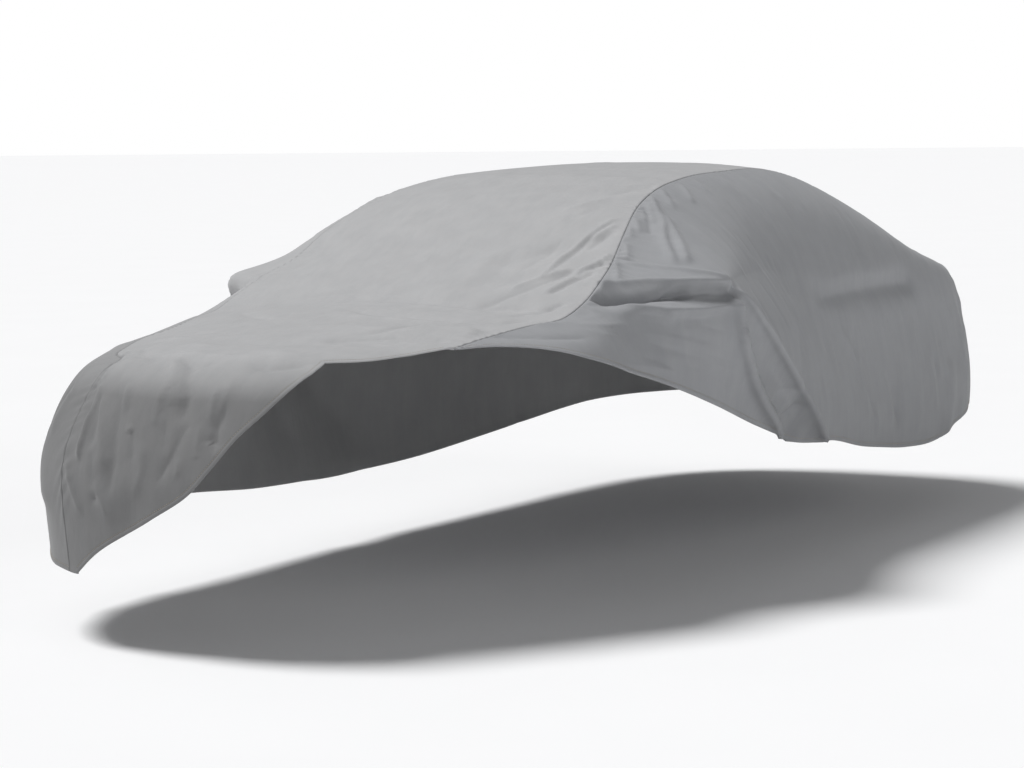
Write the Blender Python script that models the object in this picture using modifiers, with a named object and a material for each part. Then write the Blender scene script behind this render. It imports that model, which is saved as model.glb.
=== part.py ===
"""A fitted cloth cover, hollow below, as it hangs with its near front corner swept back.

Three panels of cloth: a centre strip from the nose hem to the tail hem, and a side panel on each side.
Each is an open sheet, bent over the cover's stations, with its folds raised in it, and 2 mm thick.
Along the strip come the nose, the fore deck, the front slope, the crown, the rear slope, the tail deck
and the tail. Sizes are metres. X runs across (+X is the near side), Y lengthwise (the nose is at -Y) and
Z up from the ground.
"""

import bmesh
import bpy
import numpy as np

# Driving dimensions.
CLOTH = 0.002  # thickness of the sheet
SEAM_GAP = 0.0010  # between the strip and a side panel, along the seam
REST_Y = 0.40  # lengthwise place of the point under the crown where the cover is held up
BELT_Z = 0.60  # height at which the skirt is widest
SKIRT_Z = 0.22  # height of the lowest hem
HEM_TUCK = 0.012  # how far the skirt draws in below the belt
SECTION_KNOTS = (0.0, 0.38, 0.62, 1.0)  # share of the skirt at seam, waist, belt and lowest hem

# The stations, front to rear. "run" names the place along the seam. The seam joins strip and side panel,
# the waist is where the leaning side turns upright and the belt is the widest line. The middle line is the
# strip's own.
STATION_COLUMNS = (
    "run", "seam_y", "seam_x", "seam_z", "mid_y", "mid_z", "waist_x", "waist_z", "belt_y", "belt_x",
)
STATIONS = (
    (-2.30, -2.03, 0.460, 0.890, -2.125, 0.924, 0.480, 0.775, -2.308, 0.490),
    (-2.15, -1.96, 0.540, 0.898, -2.020, 0.938, 0.605, 0.775, -2.222, 0.622),
    (-2.00, -1.86, 0.585, 0.908, -1.890, 0.948, 0.730, 0.775, -2.070, 0.758),
    (-1.85, -1.76, 0.605, 0.926, -1.780, 0.958, 0.815, 0.770, -1.890, 0.870),
    (-1.60, -1.56, 0.620, 0.950, -1.570, 0.980, 0.870, 0.790, -1.600, 0.930),
    (-1.35, -1.34, 0.665, 0.976, -1.340, 1.002, 0.885, 0.820, -1.350, 0.940),
    (-1.18, -1.18, 0.700, 0.990, -1.180, 1.025, 0.885, 0.850, -1.180, 0.940),
    (-1.05, -1.05, 0.708, 1.034, -1.050, 1.072, 0.868, 0.865, -1.050, 0.940),
    (-0.90, -0.90, 0.690, 1.096, -0.900, 1.136, 0.865, 0.905, -0.900, 0.940),
    (-0.76, -0.76, 0.658, 1.146, -0.760, 1.195, 0.868, 0.940, -0.760, 0.940),
    (-0.59, -0.59, 0.622, 1.246, -0.590, 1.286, 0.870, 0.97, -0.590, 0.940),
    (-0.42, -0.42, 0.580, 1.322, -0.420, 1.358, 0.865, 0.98, -0.420, 0.940),
    (-0.23, -0.23, 0.550, 1.377, -0.230, 1.410, 0.865, 0.98, -0.230, 0.940),
    (0.05, 0.05, 0.530, 1.419, 0.050, 1.448, 0.865, 0.99, 0.050, 0.940),
    (0.40, 0.40, 0.520, 1.436, 0.400, 1.464, 0.865, 0.99, 0.400, 0.940),
    (0.82, 0.82, 0.520, 1.431, 0.820, 1.460, 0.865, 1.00, 0.820, 0.940),
    (1.10, 1.10, 0.540, 1.380, 1.100, 1.428, 0.860, 1.00, 1.100, 0.940),
    (1.45, 1.45, 0.585, 1.250, 1.450, 1.305, 0.855, 0.99, 1.450, 0.940),
    (1.75, 1.75, 0.610, 1.090, 1.750, 1.140, 0.845, 0.97, 1.750, 0.930),
    (2.00, 2.00, 0.630, 1.022, 2.000, 1.058, 0.820, 0.93, 2.020, 0.890),
    (2.18, 2.17, 0.615, 1.014, 2.190, 1.050, 0.760, 0.89, 2.240, 0.800),
    (2.32, 2.29, 0.570, 1.000, 2.320, 1.040, 0.660, 0.86, 2.400, 0.680),
    (2.45, 2.36, 0.480, 0.975, 2.400, 1.030, 0.540, 0.84, 2.490, 0.540),
)

# The middle line of the end faces: share of the drop, y, z.
NOSE = (
    (0.0, -2.125, 0.924), (0.2, -2.275, 0.845), (0.4, -2.345, 0.720), (0.62, -2.390, 0.550),
    (1.0, -2.385, 0.215),
)
TAIL = (
    (0.0, 2.410, 1.030), (0.2, 2.485, 0.950), (0.4, 2.535, 0.840), (0.62, 2.575, 0.580),
    (1.0, 2.540, 0.215),
)

# Height of the hem along each side: run, z. On the near side the cloth is swept back, so its hem starts at
# the seam.
SWEEP_START = -1.80
HEM_NEAR = (
    (-1.80, 0.928), (-1.67, 0.930), (-1.52, 0.919), (-1.45, 0.908), (-1.29, 0.866), (-1.05, 0.798),
    (-0.64, 0.660), (-0.35, 0.562), (-0.05, 0.484), (0.10, 0.452), (0.37, 0.432), (0.73, 0.369),
    (0.94, 0.342), (1.21, 0.313), (1.60, 0.312), (1.78, 0.350), (2.10, 0.385), (2.45, 0.380),
)
HEM_FAR = (
    (-2.30, 0.235), (-2.00, 0.250), (-1.60, 0.290), (-1.20, 0.310), (-0.60, 0.270), (0.40, 0.262),
    (1.10, 0.300), (1.55, 0.330), (2.10, 0.370), (2.45, 0.380),
)
# The swept edge of the strip, where the cloth ends short of the near corner: on the nose (share of the
# drop, x) and on the fore deck (run, x).
SWEEP_NOSE = (
    (0.10, 0.357), (0.21, 0.336), (0.33, 0.288), (0.455, 0.203), (0.57, 0.128), (0.68, 0.032),
    (0.757, -0.088), (0.84, -0.228), (0.90, -0.325), (0.98, -0.430),
)
SWEEP_DECK = ((-2.30, 0.354), (-2.20, 0.443), (-2.04, 0.513), (-1.905, 0.563), (-1.80, 0.603))

# The swell on each side, which the cloth hangs from like a tent: the tip's place and reach outward, where
# the swell starts, the feet of its two hanging edges near the hem, how much each edge bows on its way down,
# the share of the reach left there, the depth of the valley between the edges, how late the swell rises
# below the seam, and the length over which the cloth falls back to the side behind it.
SWELL_COLUMNS = (
    "tip_y", "tip_z", "reach", "start_y", "foot_z", "foot_a_y", "foot_b_y", "bow_a", "bow_b", "hang",
    "valley", "rise", "tail",
)
SWELLS = {
    1: (-0.585, 1.085, 0.200, -1.08, 0.46, -0.07, 0.26, 2.4, 1.03, 0.22, 0.040, 1.4, 0.80),
    -1: (-0.62, 1.060, 0.198, -0.84, 0.30, -0.30, 0.10, 1.0, 0.9, 0.06, 0.020, 5.0, 0.45),
}

# Folds: path, width, height at start, height at end. Minus is a trough. The paths are (y, z) on the side
# panels and (x, y, z) on the strip.
FOLDS_NEAR = (
    # the trough under the swell's front edge, and the ridge below it
    (((-1.02, 1.048), (-0.57, 1.048)), 0.034, -0.040, -0.036),
    (((-1.06, 1.005), (-0.60, 0.985)), 0.034, 0.006, 0.016),
    # the two hanging edges of the flap, from the swell's tip to the hem, and the pocket between their feet
    (((-0.585, 1.060), (-0.53, 0.835), (-0.33, 0.620), (-0.11, 0.480)), 0.034, 0.008, 0.018),
    (((-0.57, 1.060), (-0.24, 0.815), (0.26, 0.455)), 0.034, 0.004, 0.018),
    (((-0.02, 0.620), (0.04, 0.450)), 0.050, -0.008, -0.022),
    # the slack along the shoulder behind the swell, and the falls below it
    (((0.50, 0.975), (1.42, 0.966)), 0.055, -0.012, -0.020),
    (((1.04, 0.600), (1.10, 0.480)), 0.050, -0.008, -0.012),
    (((1.72, 0.560), (1.66, 0.360)), 0.055, 0.010, 0.014),
    (((2.20, 0.700), (2.24, 0.420)), 0.060, 0.008, 0.016),
)
FOLDS_FAR = (
    (((-0.95, 1.010), (-0.62, 0.985)), 0.036, -0.018, -0.024),
    (((-2.14, 0.820), (-2.22, 0.480)), 0.050, 0.008, 0.014),
    (((-1.86, 0.800), (-1.93, 0.300)), 0.060, -0.008, -0.016),
    (((-1.45, 0.800), (-1.50, 0.330)), 0.070, 0.008, 0.014),
    (((-0.60, 1.030), (-0.32, 0.420)), 0.050, 0.012, 0.014),
    (((-0.60, 1.030), (0.08, 0.400)), 0.050, 0.012, 0.014),
    (((0.50, 0.975), (1.42, 0.966)), 0.055, -0.012, -0.020),
    (((1.30, 0.620), (1.36, 0.360)), 0.055, 0.008, 0.014),
    (((2.16, 0.720), (2.22, 0.420)), 0.060, 0.008, 0.014),
)
FOLDS_STRIP = (
    # the gathers at the far corner of the nose and the soft falls below them
    (((-0.38, -2.12, 0.87), (-0.33, -2.33, 0.60)), 0.045, 0.010, 0.012),
    (((-0.26, -2.14, 0.88), (-0.20, -2.35, 0.60)), 0.050, -0.008, -0.010),
    (((-0.12, -2.13, 0.90), (-0.08, -2.26, 0.80)), 0.045, 0.012, 0.010),
    (((-0.06, -2.30, 0.74), (-0.18, -2.38, 0.42)), 0.055, -0.006, -0.012),
    # the slack over the fore deck, and the gathers where the front slope's near edge meets the seam
    (((-0.10, -1.95, 0.95), (0.40, -1.76, 0.95)), 0.055, -0.010, -0.014),
    (((0.15, -1.62, 0.97), (0.55, -1.54, 0.96)), 0.050, 0.010, 0.014),
    (((-0.45, -1.14, 1.04), (0.50, -1.16, 1.03)), 0.060, -0.010, -0.014),
    (((0.28, -1.00, 1.09), (0.60, -0.88, 1.11)), 0.040, -0.010, -0.016),
    (((0.26, -0.86, 1.15), (0.56, -0.66, 1.22)), 0.040, -0.008, -0.014),
    # the crown's front line and the foot of the rear slope
    (((-0.38, -0.12, 1.43), (0.38, -0.12, 1.43)), 0.060, 0.006, 0.006),
    (((-0.50, 1.86, 1.10), (0.50, 1.86, 1.10)), 0.070, -0.012, -0.012),
)
# The small peak near the rear of the crown: x and y, width in x and y, and height.
PEAK_PLACE = (0.0, 1.16)
PEAK_WIDTH = (0.030, 0.080)
PEAK_HEIGHT = 0.034

SEAM_CALM = 0.060  # folds die away within this distance of a seam

# How far the near panel's cells lean back on their way down, so that they follow the flap's edges:
# run, lean.
LEAN_NEAR = (
    (-1.80, 0.0), (-1.10, 0.25), (-0.72, 0.62), (-0.60, 0.93), (0.10, 0.60), (1.50, 0.0), (2.45, 0.0),
)

# Cells of the sheets.
RUN_CELLS = (  # from, to, cells
    (-2.30, -1.80, 7), (-1.80, -1.10, 9), (-1.10, -0.74, 8), (-0.74, -0.58, 12), (-0.58, 0.40, 22),
    (0.40, 2.45, 20),
)
NEAR_DROP_CELLS = 18
FAR_DROP_CELLS = 12
NOSE_CELLS = 11
TAIL_CELLS = 8
ACROSS_CELLS = 14

CLOTH_COLOUR = (0.36, 0.365, 0.38, 1.0)
CLOTH_ROUGHNESS = 0.75


def smooth(knots, values, at):
    """A smooth curve through the values at the knots, read at the given places."""
    knots = np.asarray(knots, float)
    values = np.asarray(values, float)
    slopes = np.gradient(values, knots)
    at = np.clip(at, knots[0], knots[-1])
    i = np.clip(np.searchsorted(knots, at) - 1, 0, len(knots) - 2)
    step = knots[i + 1] - knots[i]
    t = (at - knots[i]) / step
    value_part = values[i] + (3 * t**2 - 2 * t**3) * (values[i + 1] - values[i])
    slope_part = (t**3 - 2 * t**2 + t) * slopes[i] + (t**3 - t**2) * slopes[i + 1]
    return value_part + step * slope_part


def soft_step(t):
    """0 below 0, 1 above 1, and smooth between."""
    t = np.clip(t, 0.0, 1.0)
    return t * t * (3.0 - 2.0 * t)


def station(name, run):
    """A column of the stations' table, read at a run."""
    table = np.array(STATIONS)
    return smooth(table[:, 0], table[:, STATION_COLUMNS.index(name)], run)


def skirt(run, drop):
    """The near side's skirt at a run and a drop from 0, the seam, to 1, the lowest hem."""
    run, drop = np.broadcast_arrays(np.asarray(run, float), np.asarray(drop, float))
    level = np.zeros_like(run)
    seam_y = station("seam_y", run)
    belt_y = station("belt_y", run)
    belt_x = station("belt_x", run)
    waist_y = seam_y + 0.62 * (belt_y - seam_y)
    points = np.stack(
        [
            np.stack([station("seam_x", run), seam_y, station("seam_z", run)], -1),
            np.stack([station("waist_x", run), waist_y, station("waist_z", run)], -1),
            np.stack([belt_x, belt_y, level + BELT_Z], -1),
            np.stack([belt_x - HEM_TUCK, belt_y, level + SKIRT_Z], -1),
        ]
    )
    knots = np.array(SECTION_KNOTS)
    slopes = np.gradient(points, knots, axis=0)
    # The cloth leaves the seam outward rather than down, so the shoulder is round.
    slopes[0] = (points[1] - points[0]) / (knots[1] - knots[0]) * (1.7, 1.7, 0.55)
    i = np.clip(np.searchsorted(knots, drop) - 1, 0, len(knots) - 2)
    step = (knots[i + 1] - knots[i])[..., None]
    t = ((drop - knots[i]) / (knots[i + 1] - knots[i]))[..., None]

    def pick(rows, k):
        return np.take_along_axis(rows, (i + k)[None, ..., None], 0)[0]

    value_part = pick(points, 0) + (3 * t**2 - 2 * t**3) * (pick(points, 1) - pick(points, 0))
    slope_part = (t**3 - 2 * t**2 + t) * pick(slopes, 0) + (t**3 - t**2) * pick(slopes, 1)
    return value_part + step * slope_part


def drop_at(run, height):
    """The drop at which the skirt at this run comes down to a height."""
    drops = np.linspace(0.0, 1.0, 201)
    heights = skirt(run, drops)[:, 2]
    return float(np.interp(-height, -heights, drops))


def top(run, across):
    """The strip along the top at a run and a share across from -1, the far seam, to 1, the near seam."""
    run, across = np.broadcast_arrays(np.asarray(run, float), np.asarray(across, float))
    width = np.abs(across)
    mid_y = station("mid_y", run)
    mid_z = station("mid_z", run)
    y = mid_y + (station("seam_y", run) - mid_y) * width**2.5
    z = mid_z + (station("seam_z", run) - mid_z) * width**2.3
    return np.stack([across * station("seam_x", run), y, z], -1)


def end_face(middle_line, run, drop, across):
    """The strip down the nose or the tail, between its middle line and the corner seams at this run."""
    drop, across = np.broadcast_arrays(np.asarray(drop, float), np.asarray(across, float))
    line = np.array(middle_line)
    width = np.abs(across)
    corner = skirt(np.full_like(drop, run), drop)
    mid_y = smooth(line[:, 0], line[:, 1], drop)
    mid_z = smooth(line[:, 0], line[:, 2], drop)
    y = mid_y + (corner[..., 1] - mid_y) * width**2.5
    z = mid_z + (corner[..., 2] - mid_z) * width**2.3
    return np.stack([across * corner[..., 0], y, z], -1)


def swell_reach(side, sheet):
    """How far outward the swell lifts each point of a side sheet."""
    swell = dict(zip(SWELL_COLUMNS, SWELLS[side]))
    y = sheet[..., 1]
    z = sheet[..., 2]
    seam_z = station("seam_z", sheet[..., 1])
    below_seam = np.clip((seam_z - z) / np.maximum(seam_z - swell["tip_z"], 0.06), 0.0, 1.0)
    rise = np.sin(0.5 * np.pi * below_seam) ** swell["rise"]
    fall = np.clip((swell["tip_z"] - z) / (swell["tip_z"] - swell["foot_z"]), 0.0, 1.0)
    edge_a = swell["tip_y"] + (swell["foot_a_y"] - swell["tip_y"]) * fall ** swell["bow_a"]
    edge_b = swell["tip_y"] + (swell["foot_b_y"] - swell["tip_y"]) * fall ** swell["bow_b"]
    ramp = np.clip((y - swell["start_y"]) / (edge_a - swell["start_y"]), 0.0, 1.0)
    past = (1.0 - np.clip((y - edge_b) / swell["tail"], 0.0, 1.0)) ** 1.4
    between = np.clip((y - edge_a) / np.maximum(edge_b - edge_a, 0.01), 0.0, 1.0)
    hang = 1.0 - (1.0 - swell["hang"]) * fall
    valley = swell["valley"] * np.sin(np.pi * between**0.65) * soft_step(fall * 1.6)
    return swell["reach"] * rise * hang * ramp * past - valley


def fold_height(places, folds):
    """The height that the folds add at each place."""
    height = np.zeros(places.shape[:-1])
    for path, width, start_height, end_height in folds:
        path = np.array(path)
        legs = np.diff(path, axis=0)
        leg_lengths = np.linalg.norm(legs, axis=1)
        starts = np.concatenate([[0.0], np.cumsum(leg_lengths)])
        nearest = np.full(height.shape, np.inf)
        share = np.zeros(height.shape)
        for start, leg, leg_length, before in zip(path, legs, leg_lengths, starts):
            along = np.clip(((places - start) @ leg) / leg_length**2, 0.0, 1.0)
            distance = np.linalg.norm(places - start - along[..., None] * leg, axis=-1)
            closer = distance < nearest
            nearest[closer] = distance[closer]
            share[closer] = (before + along[closer] * leg_length) / starts[-1]
        peak = start_height + (end_height - start_height) * share
        height += peak * np.exp(-((nearest / width) ** 2))
    return height


def normals(sheet):
    """Unit normals of a sheet, from the directions of its rows and columns."""
    along_rows = np.gradient(sheet, axis=0)
    along_columns = np.gradient(sheet, axis=1)
    cross = np.cross(along_rows, along_columns)
    return cross / np.maximum(np.linalg.norm(cross, axis=-1, keepdims=True), 1e-9)


def cell_runs(first):
    """The runs of the rows, from the first one on."""
    pieces = [np.linspace(start, end, cells + 1)[:-1] for start, end, cells in RUN_CELLS]
    runs = np.concatenate(pieces + [[RUN_CELLS[-1][1]]])
    return runs[runs >= first - 1e-6]


def draw_back(sheet, edge, inner, amount):
    """Moves an edge of the sheet towards its inner neighbours, which leaves the gap at a seam."""
    way = sheet[inner] - sheet[edge]
    length = np.maximum(np.linalg.norm(way, axis=-1, keepdims=True), 1e-6)
    sheet[edge] += way * (amount / length)


def side_sheet(side):
    """Points of a side panel, a row for each run. side is 1 for the near panel and -1 for the far one."""
    hem = np.array(HEM_NEAR if side == 1 else HEM_FAR)
    runs = cell_runs(SWEEP_START if side == 1 else RUN_CELLS[0][0])
    lean = np.interp(runs, *np.transpose(LEAN_NEAR)) if side == 1 else np.zeros_like(runs)
    shares = np.linspace(0.0, 1.0, (NEAR_DROP_CELLS if side == 1 else FAR_DROP_CELLS) + 1)
    hem_runs = runs + lean
    hem_heights = smooth(hem[:, 0], hem[:, 1], hem_runs)
    hem_drops = np.array([drop_at(run, height) for run, height in zip(hem_runs, hem_heights)])
    sheet = skirt(runs[:, None] + lean[:, None] * shares**1.5, hem_drops[:, None] * shares)
    from_seam = np.linalg.norm(sheet - sheet[:, :1], axis=-1)
    sheet[..., 0] += swell_reach(side, sheet)
    folds = FOLDS_NEAR if side == 1 else FOLDS_FAR
    calm = soft_step(from_seam / SEAM_CALM)
    sheet -= normals(sheet) * (fold_height(sheet[..., 1:], folds) * calm)[..., None]
    draw_back(sheet, np.s_[:, 0], np.s_[:, 1], SEAM_GAP / 2)
    if side == -1:
        draw_back(sheet, np.s_[0], np.s_[1], SEAM_GAP / 2)
    draw_back(sheet, np.s_[-1], np.s_[-2], SEAM_GAP / 2)
    return sheet * (side, 1, 1)


def strip_rows():
    """The strip's rows, front to rear: a function of the share across, and the near end's share."""
    first_run = RUN_CELLS[0][0]
    last_run = RUN_CELLS[-1][1]
    nose_drop = drop_at(first_run, HEM_FAR[0][1])
    tail_drop = drop_at(last_run, HEM_FAR[-1][1])
    nose_edge = np.array(SWEEP_NOSE)
    deck_edge = np.array(SWEEP_DECK)
    rows = []
    for drop in np.linspace(nose_drop, 0.0, NOSE_CELLS + 1)[:-1]:
        corner_x = skirt(first_run, drop)[0]
        near = smooth(nose_edge[:, 0], nose_edge[:, 1], drop) / corner_x
        rows.append((end_face, (NOSE, first_run, drop), near))
    for run in cell_runs(first_run):
        near = smooth(deck_edge[:, 0], deck_edge[:, 1], run) / station("seam_x", run)
        rows.append((top, (run,), near if run < SWEEP_START - 1e-6 else 1.0))
    for drop in np.linspace(0.0, tail_drop, TAIL_CELLS + 1)[1:]:
        rows.append((end_face, (TAIL, last_run, drop), 1.0))
    return rows


def strip_sheet():
    """Points of the strip, a row for each place along it, from the far edge to the near edge."""
    shares = np.linspace(0.0, 1.0, ACROSS_CELLS + 1)
    rows = strip_rows()
    sheet = np.stack([form(*place, -1.0 + (near + 1.0) * shares) for form, place, near in rows])
    width = np.abs(sheet[:, :1, 0])
    to_far_seam = sheet[..., 0] + width
    swept = np.array([near < 1.0 - 1e-6 for _, _, near in rows])[:, None]
    to_near_seam = np.where(swept, 1.0, np.maximum(width - sheet[..., 0], 0.0))
    calm = soft_step(np.minimum(to_far_seam, to_near_seam) / SEAM_CALM)
    height = fold_height(sheet, FOLDS_STRIP)
    from_peak = (sheet[..., :2] - PEAK_PLACE) / PEAK_WIDTH
    height += PEAK_HEIGHT * np.exp(-np.sum(from_peak**2, axis=-1))
    sheet -= normals(sheet) * (height * calm)[..., None]
    joined = ~swept[:, 0]
    draw_back(sheet, np.s_[:, 0], np.s_[:, 1], SEAM_GAP / 2)
    draw_back(sheet, (joined, -1), (joined, -2), SEAM_GAP / 2)
    return sheet


def cloth_material(name, tone):
    """Plain matt cloth."""
    material = bpy.data.materials.new(name)
    material.use_nodes = True
    shader = material.node_tree.nodes["Principled BSDF"]
    shader.inputs["Base Color"].default_value = [channel * tone for channel in CLOTH_COLOUR[:3]] + [1.0]
    shader.inputs["Roughness"].default_value = CLOTH_ROUGHNESS
    shader.inputs["Metallic"].default_value = 0.0
    return material


def cloth_panel(name, sheet, collection, parent, tone):
    """A sheet of cloth: a flat grid bent to the sheet's points, and given its thickness."""
    rows, columns = sheet.shape[:2]
    mesh_builder = bmesh.new()
    bmesh.ops.create_grid(mesh_builder, x_segments=columns - 1, y_segments=rows - 1, size=0.5)
    for vertex in mesh_builder.verts:
        column = round((vertex.co.x + 0.5) * (columns - 1))
        row = round((vertex.co.y + 0.5) * (rows - 1))
        vertex.co = sheet[row, column]
    bmesh.ops.triangulate(mesh_builder, faces=mesh_builder.faces)
    mesh = bpy.data.meshes.new(name)
    mesh_builder.to_mesh(mesh)
    mesh_builder.free()
    mesh.shade_smooth()
    mesh.materials.append(cloth_material(name + "_cloth", tone))
    panel = bpy.data.objects.new(name, mesh)
    collection.objects.link(panel)
    panel.parent = parent
    solidify = panel.modifiers.new("thickness", "SOLIDIFY")
    solidify.thickness = CLOTH
    solidify.offset = 0.0
    return panel


def build():
    for old in list(bpy.data.objects):
        bpy.data.objects.remove(old, do_unlink=True)
    collection = bpy.data.collections.new("car_cover")
    bpy.context.scene.collection.children.link(collection)
    # The origin is the point under the crown where the cover is held up.
    rest_z = float(station("mid_z", REST_Y)) - CLOTH / 2
    crown_rest = bpy.data.objects.new("crown_rest", None)
    crown_rest.location = (0.0, -REST_Y, -rest_z)
    collection.objects.link(crown_rest)
    cloth_panel("top_panel", strip_sheet(), collection, crown_rest, 1.0)
    cloth_panel("side_panel_left", side_sheet(1), collection, crown_rest, 0.94)
    cloth_panel("side_panel_right", side_sheet(-1), collection, crown_rest, 0.94)


build()
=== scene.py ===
"""Looks of a fitted cloth cover: three panels of grey cloth with their folds, seams, hem and hem stitching.

Sizes are metres, apart from the tables that metres() reads, which are in whole millimetres. The shape is
worked out above the ground: X runs across (+X is the near side), Y lengthwise (the nose is at -Y) and Z up
from the ground. to_frame() then moves it to the frame, whose origin is the point under the crown where the
cover is held up.
"""

import math

import bpy
import numpy as np
from mathutils import Matrix
from mathutils.kdtree import KDTree


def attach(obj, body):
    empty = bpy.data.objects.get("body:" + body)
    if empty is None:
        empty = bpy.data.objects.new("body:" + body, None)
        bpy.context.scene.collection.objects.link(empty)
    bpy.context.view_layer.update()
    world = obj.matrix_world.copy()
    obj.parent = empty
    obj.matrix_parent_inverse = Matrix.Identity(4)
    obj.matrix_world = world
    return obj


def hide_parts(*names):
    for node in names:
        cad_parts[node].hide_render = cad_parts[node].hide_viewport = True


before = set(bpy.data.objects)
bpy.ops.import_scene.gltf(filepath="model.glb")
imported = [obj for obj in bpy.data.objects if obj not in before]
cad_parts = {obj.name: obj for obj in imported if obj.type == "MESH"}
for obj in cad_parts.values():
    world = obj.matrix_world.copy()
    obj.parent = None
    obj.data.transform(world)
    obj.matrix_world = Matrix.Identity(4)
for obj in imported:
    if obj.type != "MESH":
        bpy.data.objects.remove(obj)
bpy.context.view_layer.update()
scene = bpy.context.scene

# ---- The cover's sizes. They are its solids' sizes, apart from a few rows of main folds that are a little
# narrower or shallower here.

def metres(rows):
    """A table in whole millimetres, brought to metres."""
    return tuple(metres(row) if isinstance(row, tuple) else row / 1000 for row in rows)


CLOTH = 0.002  # thickness of the sheet
REST_Y = 0.40  # lengthwise place of the point under the crown where the cover is held up
BELT_Z = 0.60  # height at which the skirt is widest
SKIRT_Z = 0.22  # height of the lowest hem
HEM_TUCK = 0.012  # how far the skirt draws in below the belt
SECTION_KNOTS = (0.0, 0.38, 0.62, 1.0)  # share of the skirt at seam, waist, belt and lowest hem
WAIST_SHARE = 0.62  # how much of the lengthwise way from the seam to the belt is gone at the waist
SHOULDER = (1.7, 1.7, 0.55)  # the cloth leaves the seam outward rather than down, so the shoulder is round
CROSS_Y, CROSS_Z = 2.5, 2.3  # powers of the strip's bend from its middle line to its seams

# The stations, front to rear. "run" names the place along the seam. The seam joins strip and side panel,
# the waist is where the leaning side turns upright and the belt is the widest line. The middle line is the
# strip's own.
STATION_COLUMNS = (
    "run", "seam_y", "seam_x", "seam_z", "mid_y", "mid_z", "waist_x", "waist_z", "belt_y", "belt_x",
)
STATIONS = metres((
    (-2300, -2030, 460, 890, -2125, 924, 480, 775, -2308, 490),
    (-2150, -1960, 540, 898, -2020, 938, 605, 775, -2222, 622),
    (-2000, -1860, 585, 908, -1890, 948, 730, 775, -2070, 758),
    (-1850, -1760, 605, 926, -1780, 958, 815, 770, -1890, 870),
    (-1600, -1560, 620, 950, -1570, 980, 870, 790, -1600, 930),
    (-1350, -1340, 665, 976, -1340, 1002, 885, 820, -1350, 940),
    (-1180, -1180, 700, 990, -1180, 1025, 885, 850, -1180, 940),
    (-1050, -1050, 708, 1034, -1050, 1072, 868, 865, -1050, 940),
    (-900, -900, 690, 1096, -900, 1136, 865, 905, -900, 940),
    (-760, -760, 658, 1146, -760, 1195, 868, 940, -760, 940),
    (-590, -590, 622, 1246, -590, 1286, 870, 970, -590, 940),
    (-420, -420, 580, 1322, -420, 1358, 865, 980, -420, 940),
    (-230, -230, 550, 1377, -230, 1410, 865, 980, -230, 940),
    (50, 50, 530, 1419, 50, 1448, 865, 990, 50, 940),
    (400, 400, 520, 1436, 400, 1464, 865, 990, 400, 940),
    (820, 820, 520, 1431, 820, 1460, 865, 1000, 820, 940),
    (1100, 1100, 540, 1380, 1100, 1428, 860, 1000, 1100, 940),
    (1450, 1450, 585, 1250, 1450, 1305, 855, 990, 1450, 940),
    (1750, 1750, 610, 1090, 1750, 1140, 845, 970, 1750, 930),
    (2000, 2000, 630, 1022, 2000, 1058, 820, 930, 2020, 890),
    (2180, 2170, 615, 1014, 2190, 1050, 760, 890, 2240, 800),
    (2320, 2290, 570, 1000, 2320, 1040, 660, 860, 2400, 680),
    (2450, 2360, 480, 975, 2400, 1030, 540, 840, 2490, 540),
))
STATION_TABLE = np.array(STATIONS)

# The middle line of the end faces: share of the drop, y, z.
NOSE = (
    (0.0, -2.125, 0.924), (0.2, -2.275, 0.845), (0.4, -2.345, 0.720), (0.62, -2.390, 0.550),
    (1.0, -2.385, 0.215),
)
TAIL = (
    (0.0, 2.410, 1.030), (0.2, 2.485, 0.950), (0.4, 2.535, 0.840), (0.62, 2.575, 0.580),
    (1.0, 2.540, 0.215),
)

# Height of the hem along each side: run, z. On the near side the cloth is swept back, so its hem starts at
# the seam.
SWEEP_START = -1.80
HEM_NEAR = metres((
    (-1800, 928), (-1670, 930), (-1520, 919), (-1450, 908), (-1290, 866), (-1050, 798), (-640, 660),
    (-350, 562), (-50, 484), (100, 452), (370, 432), (730, 369), (940, 342), (1210, 313), (1600, 312),
    (1780, 350), (2100, 385), (2450, 380),
))
HEM_FAR = metres((
    (-2300, 235), (-2000, 250), (-1600, 290), (-1200, 310), (-600, 270), (400, 262), (1100, 300), (1550, 330),
    (2100, 370), (2450, 380),
))
# The swept edge of the strip, where the cloth ends short of the near corner: on the nose (share of the
# drop, x) and on the fore deck (run, x).
SWEEP_NOSE = (
    (0.10, 0.357), (0.21, 0.336), (0.33, 0.288), (0.455, 0.203), (0.57, 0.128), (0.68, 0.032),
    (0.757, -0.088), (0.84, -0.228), (0.90, -0.325), (0.98, -0.430),
)
SWEEP_DECK = metres((
    (-2300, 354), (-2200, 443), (-2040, 513), (-1905, 563), (-1800, 603),
))

# The swell on each side, which the cloth hangs from like a tent: the tip's place and reach outward, where
# the swell starts, the feet of its two hanging edges near the hem, how much each edge bows on its way down,
# the share of the reach left there, the depth of the valley between the edges, how late the swell rises
# below the seam, and the length over which the cloth falls back to the side behind it.
SWELL_COLUMNS = (
    "tip_y", "tip_z", "reach", "start_y", "foot_z", "foot_a_y", "foot_b_y", "bow_a", "bow_b", "hang",
    "valley", "rise", "tail",
)
SWELLS = {
    1: (-0.585, 1.085, 0.200, -1.08, 0.46, -0.07, 0.26, 2.4, 1.03, 0.22, 0.040, 1.4, 0.80),
    -1: (-0.62, 1.060, 0.198, -0.84, 0.30, -0.30, 0.10, 1.0, 0.9, 0.06, 0.020, 5.0, 0.45),
}

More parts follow.
